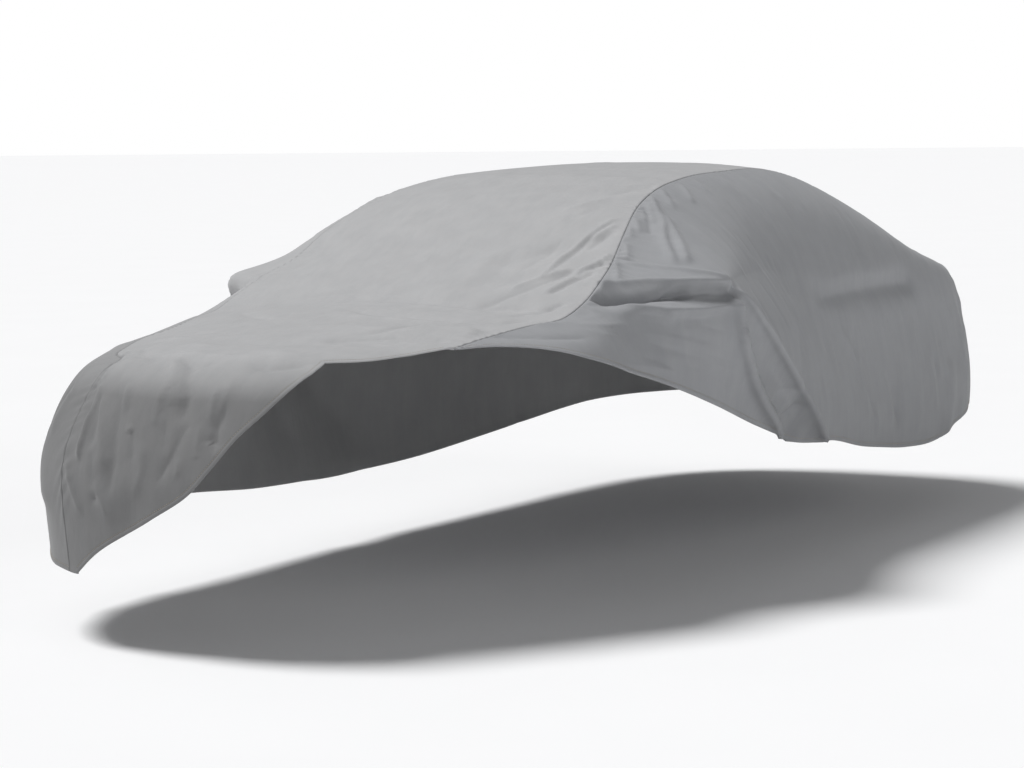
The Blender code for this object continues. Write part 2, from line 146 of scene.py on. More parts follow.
LEAST_RISE = 0.06  # height over which a swell rises where the seam is no higher than its tip
TAIL_POWER = 1.4  # how soon the cloth falls back behind a swell
VALLEY_LEAN = 0.65  # below 1, the valley is deepest nearer to the first edge
VALLEY_HASTE = 1.6  # above 1, it is at its full depth before the foot

# Main folds: path, width, height at start, height at end. Minus is a trough. The paths are (y, z) on the side
# panels and (x, y, z) on the strip.
FOLDS_NEAR = metres((
    # the trough under the swell's front edge, and the ridge below it
    (((-1020, 1048), (-570, 1048)), 28, -40, -36),
    (((-1060, 1012), (-850, 985)), 22, 4, 14),
    (((-850, 985), (-600, 998)), 22, 14, 16),
    # the two hanging edges of the flap, from the swell's tip to the hem, and the pocket between their feet
    (((-585, 1060), (-530, 835), (-330, 620), (-110, 480)), 34, 8, 18),
    (((-570, 1060), (-240, 815), (260, 455)), 34, 4, 18),
    (((-20, 620), (40, 450)), 50, -8, -22),
    # the slack along the shoulder behind the swell, and the falls below it
    (((500, 975), (1420, 966)), 55, -12, -20),
    (((1040, 600), (1100, 480)), 50, -8, -12),
    (((1720, 560), (1660, 360)), 55, 10, 14),
    (((2200, 700), (2240, 420)), 60, 8, 16),
))
FOLDS_FAR = metres((
    (((-950, 1010), (-620, 985)), 36, -18, -24),
    (((-2140, 820), (-2220, 480)), 50, 8, 14),
    (((-1860, 800), (-1930, 300)), 60, -8, -16),
    (((-1450, 800), (-1500, 330)), 70, 8, 14),
    (((-600, 1030), (-320, 420)), 50, 12, 14),
    (((-600, 1030), (80, 400)), 50, 12, 14),
    (((500, 975), (1420, 966)), 55, -12, -20),
    (((1300, 620), (1360, 360)), 55, 8, 14),
    (((2160, 720), (2220, 420)), 60, 8, 14),
))
FOLDS_STRIP = metres((
    # the gathers at the far corner of the nose and the soft falls below them
    (((-380, -2120, 870), (-330, -2330, 600)), 45, 10, 12),
    (((-260, -2140, 880), (-200, -2350, 600)), 50, -8, -10),
    (((-120, -2130, 900), (-80, -2260, 800)), 45, 12, 10),
    (((-60, -2300, 740), (-180, -2380, 420)), 55, -6, -12),
    # the slack over the fore deck, and the gathers where the front slope's near edge meets the seam
    (((-100, -1950, 950), (400, -1760, 950)), 55, -10, -14),
    (((150, -1620, 970), (550, -1540, 960)), 50, 10, 14),
    (((-450, -1140, 1040), (500, -1160, 1030)), 60, -10, -14),
    (((280, -1000, 1090), (600, -880, 1110)), 40, -8, -8),
    (((260, -860, 1150), (560, -660, 1220)), 40, -6, -6),
    # the crown's front line and the foot of the rear slope
    (((-380, -120, 1430), (380, -120, 1430)), 60, 6, 6),
    (((-500, 1860, 1100), (500, 1860, 1100)), 70, -12, -12),
))
# The small peak near the rear of the crown: its x and y, its width in x and y, and its height.
PEAK_PLACE = (0.0, 1.16)
PEAK_WIDTH = (0.030, 0.080)
PEAK_HEIGHT = 0.034

# How far the near panel's cells lean back on their way down, so that they follow the flap's edges:
# run, lean.
LEAN_NEAR = (
    (-1.80, 0.0), (-1.10, 0.25), (-0.72, 0.62), (-0.60, 0.93), (0.10, 0.60), (1.50, 0.0), (2.45, 0.0),
)

# ---- What the looks add: creases, hem, seams and stitching.

# Creases: path, width, height. Minus is a trough. A crease dies away at both ends. The paths are (y, z) on the
# side panels and (x, y, z) on the strip.
CREASES_NEAR = metres((
    # the crease above the swell's front edge, the edge itself, and the thin ridge below its trough
    (((-780, 1155), (-700, 1130), (-660, 1118), (-570, 1090)), 7, 7),
    (((-960, 1080), (-880, 1088), (-810, 1092), (-760, 1090), (-680, 1086), (-580, 1080)), 10, 15),
    (((-1040, 1044), (-960, 1054), (-880, 1060), (-800, 1062), (-720, 1062)), 14, -22),
    (((-1000, 1022), (-920, 1024), (-840, 1024), (-760, 1022)), 18, 12),
    (((-800, 1034), (-700, 1040), (-600, 1046)), 22, 16),
    (((-1100, 1036), (-1020, 1028), (-930, 1014), (-850, 998), (-730, 992), (-580, 1004)), 9, 10),
    (((-980, 996), (-850, 972), (-730, 968), (-600, 984)), 12, -6),
    # the flap's two edges, the shade behind the first, and the pocket at their feet
    (((-585, 1080), (-580, 1000), (-560, 900), (-510, 800), (-430, 700), (-310, 600), (-170, 510),
      (-50, 420)), 8, 29),
    (((-550, 1020), (-500, 880), (-420, 770), (-310, 670), (-180, 580), (-50, 500)), 20, -22),
    (((-585, 1080), (-480, 1000), (-340, 900), (-210, 800), (-70, 700), (70, 600), (200, 500),
      (340, 390)), 8, 21),
    (((-460, 1020), (-300, 910), (-150, 800), (-10, 700), (130, 600), (260, 500)), 16, -10),
    (((-300, 780), (-180, 700), (-60, 610), (60, 520)), 26, 6),
    (((-180, 660), (-120, 670), (-50, 670), (20, 650)), 13, -10),
    (((-120, 500), (-80, 550), (0, 600), (60, 600)), 16, -14),
    # faint falls from the seam behind them
    (((100, 1418), (70, 1385), (60, 1350)), 12, 4),
    (((130, 1418), (110, 1380), (100, 1350)), 12, -3),
    (((300, 1420), (280, 1385), (270, 1340)), 12, 3),
    (((340, 1420), (320, 1385), (310, 1345)), 12, -3),
    (((580, 1415), (560, 1375), (540, 1320)), 12, 3),
    (((630, 1415), (610, 1370), (600, 1320)), 12, -3),
    # the soft trough along the shoulder, and the falls towards the hem
    (((460, 945), (800, 963), (1230, 968), (1500, 962)), 35, -8),
    (((500, 1010), (900, 1025), (1400, 1015)), 40, 5),
    (((620, 840), (760, 653), (860, 493), (900, 380)), 22, 8),
    (((720, 700), (810, 560), (860, 460)), 18, -8),
    (((960, 640), (1020, 520), (1050, 400)), 20, 7),
    (((1060, 600), (1100, 500), (1120, 380)), 16, -7),
    (((1460, 700), (1490, 566), (1520, 400)), 16, 7),
    (((1530, 680), (1560, 540), (1580, 400)), 16, -7),
    (((180, 900), (60, 720), (120, 560)), 30, -6),
    (((1930, 900), (1970, 663), (2000, 460)), 20, 7),
    (((2060, 880), (2100, 640), (2100, 480)), 18, -6),
    (((-1560, 960), (-1420, 945), (-1220, 930)), 16, -7),
    (((-1360, 985), (-1200, 970), (-1000, 955)), 16, 5),
))
# The near panel's creases with paths (x, y, z): the gathers that fan down from the seam at the front of the
# crown. There the cloth lies too flat for y and z to place a path.
GATHERS_NEAR = metres((
    (((560, -35, 1400), (600, -75, 1375), (635, -110, 1350), (670, -150, 1325)), 13, 10),
    (((550, -165, 1390), (595, -230, 1360), (630, -260, 1335), (675, -305, 1305)), 18, 12),
    (((555, -150, 1390), (595, -190, 1365), (640, -235, 1335)), 9, -4),
    (((560, -275, 1370), (610, -345, 1330), (655, -400, 1300), (700, -455, 1265), (760, -560, 1215),
      (805, -615, 1180), (870, -685, 1135)), 13, 17),
    (((585, -345, 1340), (630, -415, 1305), (680, -485, 1265)), 11, 9),
    (((590, -380, 1330), (635, -440, 1295), (670, -495, 1265), (710, -560, 1235)), 9, -9),
    (((710, -465, 1260), (770, -540, 1220), (815, -595, 1185), (860, -645, 1150)), 14, -5),
    (((670, -385, 1295), (745, -465, 1245), (800, -525, 1210), (845, -585, 1180), (900, -650, 1140)), 12, 17),
    (((605, -480, 1290), (640, -530, 1265), (675, -575, 1240)), 10, 10),
    (((595, -405, 1325), (620, -440, 1305), (655, -480, 1280)), 8, 7),
    (((610, -545, 1265), (635, -580, 1245), (665, -620, 1220)), 9, 8),
    (((645, -635, 1220), (675, -680, 1185), (705, -730, 1150)), 10, 11),
    (((640, -640, 1215), (650, -670, 1190), (660, -710, 1170)), 9, -5),
    (((655, -740, 1160), (705, -810, 1120), (745, -880, 1085)), 11, 11),
    (((685, -870, 1110), (705, -925, 1080), (720, -965, 1060)), 10, 9),
))
CREASES_FAR = metres((
    (((-920, 1060), (-800, 1080), (-620, 1070)), 14, 10),
    (((-620, 1055), (-560, 900), (-440, 700), (-300, 480)), 12, 9),
    (((-620, 1055), (-420, 920), (-160, 700), (80, 460)), 12, 9),
    (((-260, 1368), (-400, 1300), (-550, 1205)), 12, 7),
    (((-340, 1338), (-470, 1265), (-600, 1190)), 13, -7),
    (((-10, 1412), (-60, 1375), (-120, 1330)), 12, 6),
    (((-130, 1390), (-210, 1350), (-300, 1310)), 12, 6),
    (((620, 840), (760, 653), (860, 493), (900, 340)), 22, 8),
    (((1460, 700), (1490, 566), (1520, 400)), 16, 7),
    (((1930, 900), (1970, 663), (2000, 460)), 20, 7),
    (((-2020, 880), (-2140, 790), (-2220, 640)), 14, 8),
    (((-1960, 890), (-2060, 800), (-2100, 560)), 16, -8),
    (((-1700, 920), (-1760, 760), (-1780, 480)), 20, 8),
    (((-1200, 940), (-1240, 700), (-1200, 420)), 22, 7),
))
CREASES_STRIP = metres((
    # the long folds that climb the front slope towards the near seam
    (((460, -940, 1090), (480, -880, 1120), (470, -780, 1160), (490, -690, 1200), (520, -600, 1250),
      (540, -540, 1280), (570, -500, 1300)), 10, 9),
    (((480, -940, 1090), (490, -830, 1140), (500, -750, 1170), (510, -660, 1210), (530, -600, 1240),
      (560, -540, 1280)), 8, -6),
    (((520, -660, 1220), (550, -600, 1250), (580, -550, 1280)), 9, 8),
    (((530, -720, 1180), (560, -650, 1220), (590, -590, 1250)), 10, -5),
    (((570, -880, 1110), (600, -800, 1140), (620, -740, 1160), (630, -700, 1180)), 9, 8),
    (((580, -900, 1100), (610, -820, 1130), (640, -760, 1150)), 7, -8),
    (((340, -1160, 1020), (400, -1120, 1040), (470, -1030, 1070), (520, -930, 1100), (550, -880, 1120),
      (580, -840, 1130)), 11, -7),
    (((410, -1040, 1060), (460, -940, 1100), (510, -880, 1120), (560, -840, 1130)), 10, 8),
    (((540, -1040, 1060), (570, -960, 1090), (590, -880, 1120), (620, -820, 1130)), 9, 8),
    (((560, -1040, 1050), (590, -970, 1080), (610, -900, 1110), (640, -830, 1120)), 8, -8),
    (((340, -1170, 1020), (460, -1140, 1030), (580, -1140, 1020), (660, -1110, 1020)), 14, -8),
    (((340, -1220, 1010), (480, -1200, 1010), (620, -1190, 1000)), 12, 5),
    (((280, -980, 1100), (310, -920, 1120), (290, -840, 1150), (270, -760, 1190)), 20, -6),
    (((200, -960, 1110), (220, -840, 1160), (240, -700, 1220)), 24, 5),
    (((380, -920, 1110), (400, -800, 1160), (430, -660, 1220)), 20, -6),
    (((320, -520, 1310), (380, -450, 1340), (460, -360, 1360)), 16, 6),
    (((360, -580, 1280), (420, -500, 1310), (490, -420, 1330)), 14, -4),
    (((420, -340, 1360), (470, -260, 1380), (510, -200, 1390), (520, -140, 1390)), 12, -6),
    (((400, -260, 1390), (460, -190, 1400), (510, -130, 1400)), 10, 4),
    (((300, -140, 1430), (420, -80, 1420), (500, -40, 1410)), 10, 3),
    (((100, -300, 1390), (220, -240, 1400), (340, -200, 1400)), 20, -3),
    # the slack along the foot of the front slope and over the fore deck
    (((-100, -1260, 1010), (50, -1330, 1000), (230, -1360, 1000), (420, -1380, 990), (560, -1340, 980),
      (640, -1220, 990)), 16, -12),
    (((-60, -1380, 1000), (140, -1420, 1000), (340, -1440, 980), (500, -1420, 980)), 12, 7),
    (((220, -1720, 960), (300, -1620, 970), (360, -1500, 980), (460, -1450, 980), (600, -1430, 970)), 15, -10),
    (((360, -1580, 970), (460, -1530, 970), (580, -1500, 960)), 12, 7),
    (((160, -1820, 950), (260, -1750, 950), (360, -1690, 960), (470, -1680, 950), (570, -1660, 950)), 15, -11),
    (((220, -1860, 950), (340, -1780, 950), (480, -1770, 940)), 12, 6),
    (((520, -1240, 1000), (600, -1160, 1010), (660, -1060, 1040)), 10, -8),
    (((-300, -1200, 1020), (-100, -1160, 1030), (160, -1180, 1030), (400, -1200, 1020)), 18, 6),
    (((-400, -1120, 1050), (-200, -1090, 1060), (50, -1100, 1050)), 14, -5),
    (((-520, -1300, 1000), (-380, -1420, 990), (-220, -1500, 990)), 16, -5),
    (((0, -1660, 980), (80, -1540, 990), (100, -1400, 1000)), 14, 4),
    # the gathers at the far corner of the nose, and the falls below them
    (((-500, -1970, 910), (-460, -2020, 910), (-420, -2080, 900)), 9, 7),
    (((-470, -1990, 910), (-420, -2090, 890), (-400, -2140, 870)), 8, -6),
    (((-450, -2020, 900), (-410, -2120, 870), (-400, -2190, 820)), 9, 7),
    (((-440, -1940, 920), (-380, -2030, 910), (-330, -2100, 900)), 10, -6),
    (((-480, -2040, 900), (-460, -2130, 860), (-450, -2210, 780)), 10, -7),
    (((-430, -2030, 910), (-270, -2110, 900), (-200, -2140, 890)), 14, -7),
    (((-420, -2240, 750), (-410, -2300, 670), (-400, -2340, 580)), 14, 8),
    (((-390, -2200, 800), (-360, -2280, 710), (-350, -2340, 620)), 14, -8),
    (((-370, -2220, 800), (-320, -2320, 680), (-280, -2370, 560)), 14, 8),
    (((-360, -2150, 860), (-270, -2280, 750), (-250, -2350, 610), (-260, -2380, 480)), 18, -10),
    (((-330, -2360, 550), (-280, -2380, 470), (-250, -2380, 400)), 14, 7),
    (((-470, -2310, 600), (-440, -2340, 520), (-380, -2360, 420)), 12, 7),
    (((-150, -2120, 900), (-50, -2200, 860), (0, -2270, 790), (-10, -2320, 700)), 20, -13),
    (((-200, -2120, 900), (-110, -2210, 860), (-70, -2280, 780), (-70, -2330, 680)), 22, 10),
    (((0, -2260, 800), (20, -2310, 710), (-20, -2360, 620), (-80, -2380, 520)), 20, -8),
    (((120, -2200, 860), (140, -2260, 800), (120, -2320, 720)), 20, 7),
    (((-140, -2340, 680), (-130, -2370, 580), (-160, -2380, 480)), 16, 7),
    (((80, -2050, 930), (180, -2050, 930), (280, -2060, 920)), 30, 6),
    (((120, -2150, 890), (210, -2170, 880), (290, -2130, 900), (340, -2080, 910)), 22, -11),
    (((-500, -1840, 930), (-440, -1810, 940), (-370, -1800, 940)), 10, 5),
    (((-520, -1760, 940), (-400, -1720, 950), (-280, -1720, 960)), 16, -6),
    (((-300, -1980, 940), (-120, -1980, 950), (80, -1960, 950)), 24, 6),
    # the tail
    (((-400, 2440, 960), (-200, 2500, 900), (50, 2520, 880)), 20, -8),
    (((400, 2420, 960), (200, 2490, 910), (-20, 2530, 840)), 20, 8),
    (((-220, 2500, 880), (-260, 2550, 680), (-280, 2560, 460)), 24, 9),
    (((140, 2530, 860), (160, 2570, 660), (120, 2560, 460)), 24, -9),
    (((340, 2490, 860), (380, 2540, 660), (360, 2540, 460)), 20, 8),
    (((-300, 1940, 1080), (0, 1970, 1070), (340, 1940, 1080)), 24, -8),
    (((-400, 2100, 1050), (-50, 2130, 1060), (260, 2100, 1050)), 22, 6),
    (((-340, 1300, 1360), (-200, 1480, 1300), (-120, 1660, 1200)), 22, 5),
    (((400, 1340, 1320), (340, 1520, 1260), (360, 1700, 1160)), 18, -5),
))

# Wrinkles strewn over a panel, from a seed. They lie along a way, between the low and the high corner of their
# place. Ways and corners are (y, z) on the side panels and (x, y, z) on the strip.
WRINKLE_COLUMNS = ("seed", "count", "low", "high", "way", "length", "width", "height")
WRINKLES_NEAR = (
    (11, 90, (0.10, 0.62), (1.90, 1.34), (0.02, -1.0), 0.20, 0.010, 0.0022),
    (12, 34, (0.40, 0.40), (2.10, 0.80), (0.10, -1.0), 0.16, 0.012, 0.0035),
    (13, 16, (-1.20, 0.72), (-0.60, 0.96), (0.90, -0.25), 0.20, 0.014, 0.0025),
    (14, 22, (1.80, 0.45), (2.38, 0.95), (0.05, -1.0), 0.22, 0.012, 0.0035),
    (15, 20, (-0.40, 0.85), (0.30, 1.20), (0.45, -1.0), 0.16, 0.011, 0.0025),
)
WRINKLES_FAR = (
    (21, 80, (-0.20, 0.50), (2.00, 1.34), (0.02, -1.0), 0.20, 0.012, 0.0025),
    (22, 40, (-2.20, 0.34), (-0.70, 0.88), (0.04, -1.0), 0.20, 0.014, 0.0035),
    (23, 20, (1.80, 0.45), (2.38, 0.95), (0.05, -1.0), 0.22, 0.012, 0.0035),
)
WRINKLES_STRIP = (
    (31, 40, (-0.45, -2.36, 0.36), (0.20, -2.16, 0.86), (0.12, -0.3, -1.0), 0.20, 0.010, 0.0065),
    (32, 30, (-0.50, -1.90, 0.93), (0.45, -1.20, 1.02), (0.9, 0.25, 0.0), 0.16, 0.012, 0.0022),
    (33, 24, (-0.55, -1.00, 1.08), (0.45, -0.30, 1.38), (0.5, 0.8, 0.30), 0.18, 0.012, 0.0018),
    (34, 18, (-0.40, 0.00, 1.42), (0.40, 1.20, 1.46), (0.9, 0.3, 0.0), 0.18, 0.014, 0.0018),
    (35, 24, (-0.50, 2.46, 0.45), (0.50, 2.58, 0.90), (0.05, 0.0, -1.0), 0.20, 0.012, 0.0035),
    (36, 16, (-0.45, 1.20, 1.05), (0.45, 1.90, 1.38), (0.5, 0.8, -0.4), 0.18, 0.013, 0.0022),
)

SEAM_TURN = 0.007  # depth of the seam allowance, turned inward
SEAM_TURN_WIDTH = 0.007
SEAM_TURN_POWER = 2.2  # how sharply it turns
CORNER_REAR_Z, CORNER_FRONT_Z = 0.975, 0.890  # height of the upper ends of the corner seams
CORNER_BLEND = 0.08  # height over which a corner seam becomes a seam over the top
PUCKER_WIDTH = 0.045  # reach of the small gathers beside a seam
PUCKER_CENTRE = 0.014  # distance from the seam at which they are highest
PUCKER_START = 0.010  # distance from the seam over which they rise
PUCKER_PITCH = 0.034
PUCKER_HEIGHT = 0.0018
PUCKER_PLACE = (-0.62, 0.34)  # lengthwise, where they are deepest and how far that reaches
PUCKER_MORE = 1.1  # how much deeper they are there
SEAM_CALM = 0.060  # main folds die away within this distance of a seam
CREASE_CALM = 0.014  # and creases within this one
HEM_CALM = 0.03  # creases weaken within this distance of a hem
HEM_SHARE = 0.35  # what is left of them at the hem
CREASE_REACH = 5  # widths of a crease within which it is worked out
CREASE_FADE = 0.13  # least share of a crease over which it dies away at each end
FADE_WIDTHS = 4  # widths of a crease over which it dies away, where that is more
CREST_SHARE = 0.3  # roundness of a crest, as a share of its width
CREASE_CREST = 0.006  # least roundness of a crest
CREASE_STEP = 0.035  # longest straight leg of a crease on a side panel
NEIGHBOURS = 12  # points of the cloth that place a path on it
NEIGHBOUR_SOFTNESS = 0.004  # distance that keeps the nearest of them from counting alone
WRINKLE_TURN = 0.22  # how far a wrinkle may turn off its way
WRINKLE_BOW = 0.06  # how far its middle may bow, as a share of its length

HEM_ROLL = 0.013  # width of the rolled hem
HEM_SWELL = 0.0036  # how much thicker the cloth is in the roll
STITCH_FROM_HEM = 0.016
STITCH_LENGTH = 0.006
STITCH_PITCH = 0.009
STITCH_WIDTH = 0.0013
STITCH_SINK = 0.0004  # how deep the ends of a stitch lie
STITCH_HALF_HEIGHT = 0.35  # as a share of its width
STITCH_BULGE = 0.7  # rise of its middle, as a share of its width
STITCH_TAPER = 0.6  # width of its ends, as a share of its width
TAIL_STITCH_ROWS = 40  # rows of the strip in which the tail's stitches lie

# Cells along each panel: from run, to run, cells. They are closer where the creases are.
CELLS_NEAR = (
    (-1.80, -1.10, 40), (-1.10, -0.74, 64), (-0.74, -0.58, 44), (-0.58, 0.00, 130), (0.00, 0.40, 40),
    (0.40, 2.45, 152),
)
CELLS_FAR = (
    (-2.30, -1.80, 50), (-1.80, -1.10, 50), (-1.10, -0.40, 66), (-0.40, 0.40, 60), (0.40, 2.45, 150),
)
CELLS_STRIP = (
    (-2.30, -1.80, 40), (-1.80, -1.10, 92), (-1.10, -0.40, 100), (-0.40, 0.40, 60), (0.40, 2.45, 150),
)
NOSE_CELLS = 110
TAIL_CELLS = 48
# Cells from edge to edge of each panel, and how they are spread: share of the cells, share of the length.
DROP_CELLS_NEAR = 148
DROP_CELLS_FAR = 96
ACROSS_CELLS = 106
EVEN_SPREAD = ((0.0, 0.0), (1.0, 1.0))
NEAR_SPREAD = ((0.0, 0.0), (0.50, 0.35), (1.0, 1.0))
ACROSS_SPREAD = ((0.0, 0.0), (0.20, 0.18), (0.55, 0.72), (1.0, 1.0))
EDGE_STEPS = (0.0, 0.0015, 0.0035, 0.006, 0.009, 0.013, 0.018)  # places of the cells next to an edge
SHORT_LENGTH = 0.25  # below this length of cloth, those cells are closer in proportion
TRIAL_STEPS = 41  # places at which a line over the cloth is measured before it is divided into cells
DROP_STEPS = 201  # places at which the skirt's height is read to find a drop
END_DROP = 0.75  # length of the nose and the tail, for how close the cells next to their edges are
LEAN_POWER = 1.5  # how late on its way down a row of the near panel leans
LINE_PITCH = 0.002  # spacing of the points by which the distance from a line is measured

# ---- The form of the cover.

def curve(start, end, start_slope, end_slope, step, t):
    """A smooth curve over one step, read at the share t of it."""
    value_part = start + (3 * t**2 - 2 * t**3) * (end - start)
    slope_part = (t**3 - 2 * t**2 + t) * start_slope + (t**3 - t**2) * end_slope
    return value_part + step * slope_part


def smooth(knots, values, at):
    """A smooth curve through the values at the knots, read at the given places."""
    knots = np.asarray(knots, float)
    values = np.asarray(values, float)
    slopes = np.gradient(values, knots)
    at = np.clip(at, knots[0], knots[-1])
    i = np.clip(np.searchsorted(knots, at) - 1, 0, len(knots) - 2)
    step = knots[i + 1] - knots[i]
    return curve(values[i], values[i + 1], slopes[i], slopes[i + 1], step, (at - knots[i]) / step)


def read(table, at, column=1):
    """A column of a table, read at places along its first column."""
    table = np.asarray(table)
    return smooth(table[:, 0], table[:, column], at)


def soft_step(t):
    """0 below 0, 1 above 1, and smooth between."""
    t = np.clip(t, 0.0, 1.0)
    return t * t * (3.0 - 2.0 * t)


def station(name, run):
    """A column of the stations' table, read at a run."""
    return read(STATION_TABLE, run, STATION_COLUMNS.index(name))


REST_Z = float(station("mid_z", REST_Y)) - CLOTH / 2  # height of the frame's origin above the ground


def to_frame(points):
    """Points above the ground, moved to the frame."""
    return points - (0.0, REST_Y, REST_Z)


def skirt(run, drop):
    """The near side's skirt at a run and a drop from 0, the seam, to 1, the lowest hem."""
    run, drop = np.broadcast_arrays(np.asarray(run, float), np.asarray(drop, float))
    level = np.zeros_like(run)
    seam_y, belt_y, belt_x = (station(name, run) for name in ("seam_y", "belt_y", "belt_x"))
    waist_y = seam_y + WAIST_SHARE * (belt_y - seam_y)
    points = np.stack(
        [
            np.stack([station("seam_x", run), seam_y, station("seam_z", run)], -1),
            np.stack([station("waist_x", run), waist_y, station("waist_z", run)], -1),
            np.stack([belt_x, belt_y, level + BELT_Z], -1),
            np.stack([belt_x - HEM_TUCK, belt_y, level + SKIRT_Z], -1),
        ]
    )
    knots = np.array(SECTION_KNOTS)
    slopes = np.gradient(points, knots, axis=0)
    slopes[0] = (points[1] - points[0]) / (knots[1] - knots[0]) * SHOULDER
    i = np.clip(np.searchsorted(knots, drop) - 1, 0, len(knots) - 2)
    step = knots[i + 1] - knots[i]
    share = (drop - knots[i]) / step
    ends = [(rows, (i + k)[None, ..., None]) for rows in (points, slopes) for k in (0, 1)]
    return curve(*(np.take_along_axis(*end, 0)[0] for end in ends), step[..., None], share[..., None])


def drop_at(run, height):
    """The drop at which the skirt at this run comes down to a height."""
    drops = np.linspace(0.0, 1.0, DROP_STEPS)
    heights = skirt(run, drops)[:, 2]
    return float(np.interp(-height, -heights, drops))


def crossed(across, end, mid_y, mid_z):
    """The strip between its middle line and the points where it ends at the seams."""
    width = np.abs(across)
    y = mid_y + (end[1] - mid_y) * width**CROSS_Y
    z = mid_z + (end[2] - mid_z) * width**CROSS_Z
    return np.stack([across * end[0], y, z], -1)


def top(run, across):
    """The strip at a run and a share across from -1, the far seam, to 1, the near seam."""
    run, across = np.broadcast_arrays(np.asarray(run, float), np.asarray(across, float))
    seam = [station(name, run) for name in ("seam_x", "seam_y", "seam_z")]
    return crossed(across, seam, station("mid_y", run), station("mid_z", run))


def end_face(middle_line, run, drop, across):
    """The strip down the nose or the tail, between its middle line and the corner seams at this run."""
    drop, across = np.broadcast_arrays(np.asarray(drop, float), np.asarray(across, float))
    corner = np.moveaxis(skirt(np.full_like(drop, run), drop), -1, 0)
    return crossed(across, corner, read(middle_line, drop), read(middle_line, drop, 2))


def swell_reach(side, sheet):
    """How far outward the swell lifts each point of a side sheet."""
    swell = dict(zip(SWELL_COLUMNS, SWELLS[side]))
    y = sheet[..., 1]
    z = sheet[..., 2]
    seam_z = station("seam_z", y)
    below_seam = np.clip((seam_z - z) / np.maximum(seam_z - swell["tip_z"], LEAST_RISE), 0.0, 1.0)
    rise = np.sin(0.5 * np.pi * below_seam) ** swell["rise"]
    fall = np.clip((swell["tip_z"] - z) / (swell["tip_z"] - swell["foot_z"]), 0.0, 1.0)
    edge_a = swell["tip_y"] + (swell["foot_a_y"] - swell["tip_y"]) * fall ** swell["bow_a"]
    edge_b = swell["tip_y"] + (swell["foot_b_y"] - swell["tip_y"]) * fall ** swell["bow_b"]
    before = np.clip((y - swell["start_y"]) / (edge_a - swell["start_y"]), 0.0, 1.0)
    past = (1.0 - np.clip((y - edge_b) / swell["tail"], 0.0, 1.0)) ** TAIL_POWER
    between = np.clip((y - edge_a) / np.maximum(edge_b - edge_a, 0.01), 0.0, 1.0)
    hang = 1.0 - (1.0 - swell["hang"]) * fall
    valley = swell["valley"] * np.sin(np.pi * between**VALLEY_LEAN) * soft_step(fall * VALLEY_HASTE)
    return swell["reach"] * rise * hang * before * past - valley


# ---- Folds, creases and wrinkles.

def unit(way):
    """A way with length 1."""
    return way / np.linalg.norm(way)


def path_length(points):
    """Length along a line of points, at each of them."""
    return np.concatenate([[0.0], np.cumsum(np.linalg.norm(np.diff(points, axis=0), axis=1))])


def nearest_on(path, spots, ways=None):
    """The distance of each spot from a path, the share of the path's length there, and the whole length.

    Where ways are given, what lies along a spot's own way doesn't count.
    """
    legs = np.diff(path, axis=0)
    leg_lengths = np.linalg.norm(legs, axis=1)
    starts = path_length(path)
    nearest = np.full(spots.shape[:-1], np.inf)
    share = np.zeros(spots.shape[:-1])
    for start, leg, leg_length, before in zip(path, legs, leg_lengths, starts):
        along = np.clip(((spots - start) @ leg) / leg_length**2, 0.0, 1.0)
        apart = spots - start - along[..., None] * leg
        if ways is not None:
            apart -= ways * np.sum(apart * ways, axis=-1)[..., None]
        distance = np.linalg.norm(apart, axis=-1)
        closer = distance < nearest
        nearest[closer] = distance[closer]
        share[closer] = (before + along[closer] * leg_length) / starts[-1]
    return nearest, share, starts[-1]


def fold_height(places, folds):
    """The height that the main folds add at each place."""
    height = np.zeros(places.shape[:-1])
    for path, width, start_height, end_height in folds:
        nearest, share, _ = nearest_on(np.array(path), places)
        peak = start_height + (end_height - start_height) * share
        height += peak * np.exp(-((nearest / width) ** 2))
    return height


def crease_height(places, creases, outward):
    """The height that the creases add at each place: sharp at the crest, and gone at both ends.

    Distances are taken along the cloth, so what lies along its outward way doesn't count.
    """
    flat = places.reshape(-1, 3)
    ways = outward.reshape(-1, 3)
    height = np.zeros(len(flat))
    for path, width, peak in creases:
        path = np.array(path)
        margin = CREASE_REACH * width
        near = np.all((flat > path.min(0) - margin) & (flat < path.max(0) + margin), axis=1)
        if not near.any():
            continue
        nearest, share, length = nearest_on(path, flat[near], ways[near])
        crest = max(CREST_SHARE * width, CREASE_CREST)
        profile = np.exp(-(np.sqrt(nearest**2 + crest**2) - crest) / width)
        fade = min(0.5, max(CREASE_FADE, FADE_WIDTHS * width / length))
        height[near] += peak * profile * soft_step(share / fade) * soft_step((1.0 - share) / fade)
    return height.reshape(places.shape[:-1])


def tree_of(points):
    """A tree of points that finds the nearest of them."""
    tree = KDTree(len(points))
    for number, point in enumerate(points):
        tree.insert(point, number)
    tree.balance()
    return tree


def on_cloth(creases, places):
    """Side creases with their paths brought from (y, z) onto the cloth, in steps short enough to follow it."""
    flat = places.reshape(-1, 3)
    tree = tree_of(flat * (0.0, 1.0, 1.0))
    laid = []
    for path, width, peak in creases:
        path = np.array(path)
        along = path_length(path)
        stops = np.union1d(along, np.linspace(0.0, along[-1], max(2, int(along[-1] / CREASE_STEP) + 1)))
        points = []
        for y, z in zip(np.interp(stops, along, path[:, 0]), np.interp(stops, along, path[:, 1])):
            found = tree.find_n((0.0, y, z), NEIGHBOURS)
            nearness = np.array([1.0 / (distance + NEIGHBOUR_SOFTNESS) for _, _, distance in found])
            x = nearness @ flat[[number for _, number, _ in found], 0] / nearness.sum()
            points.append((x, y, z))
        laid.append((points, width, peak))
    return laid


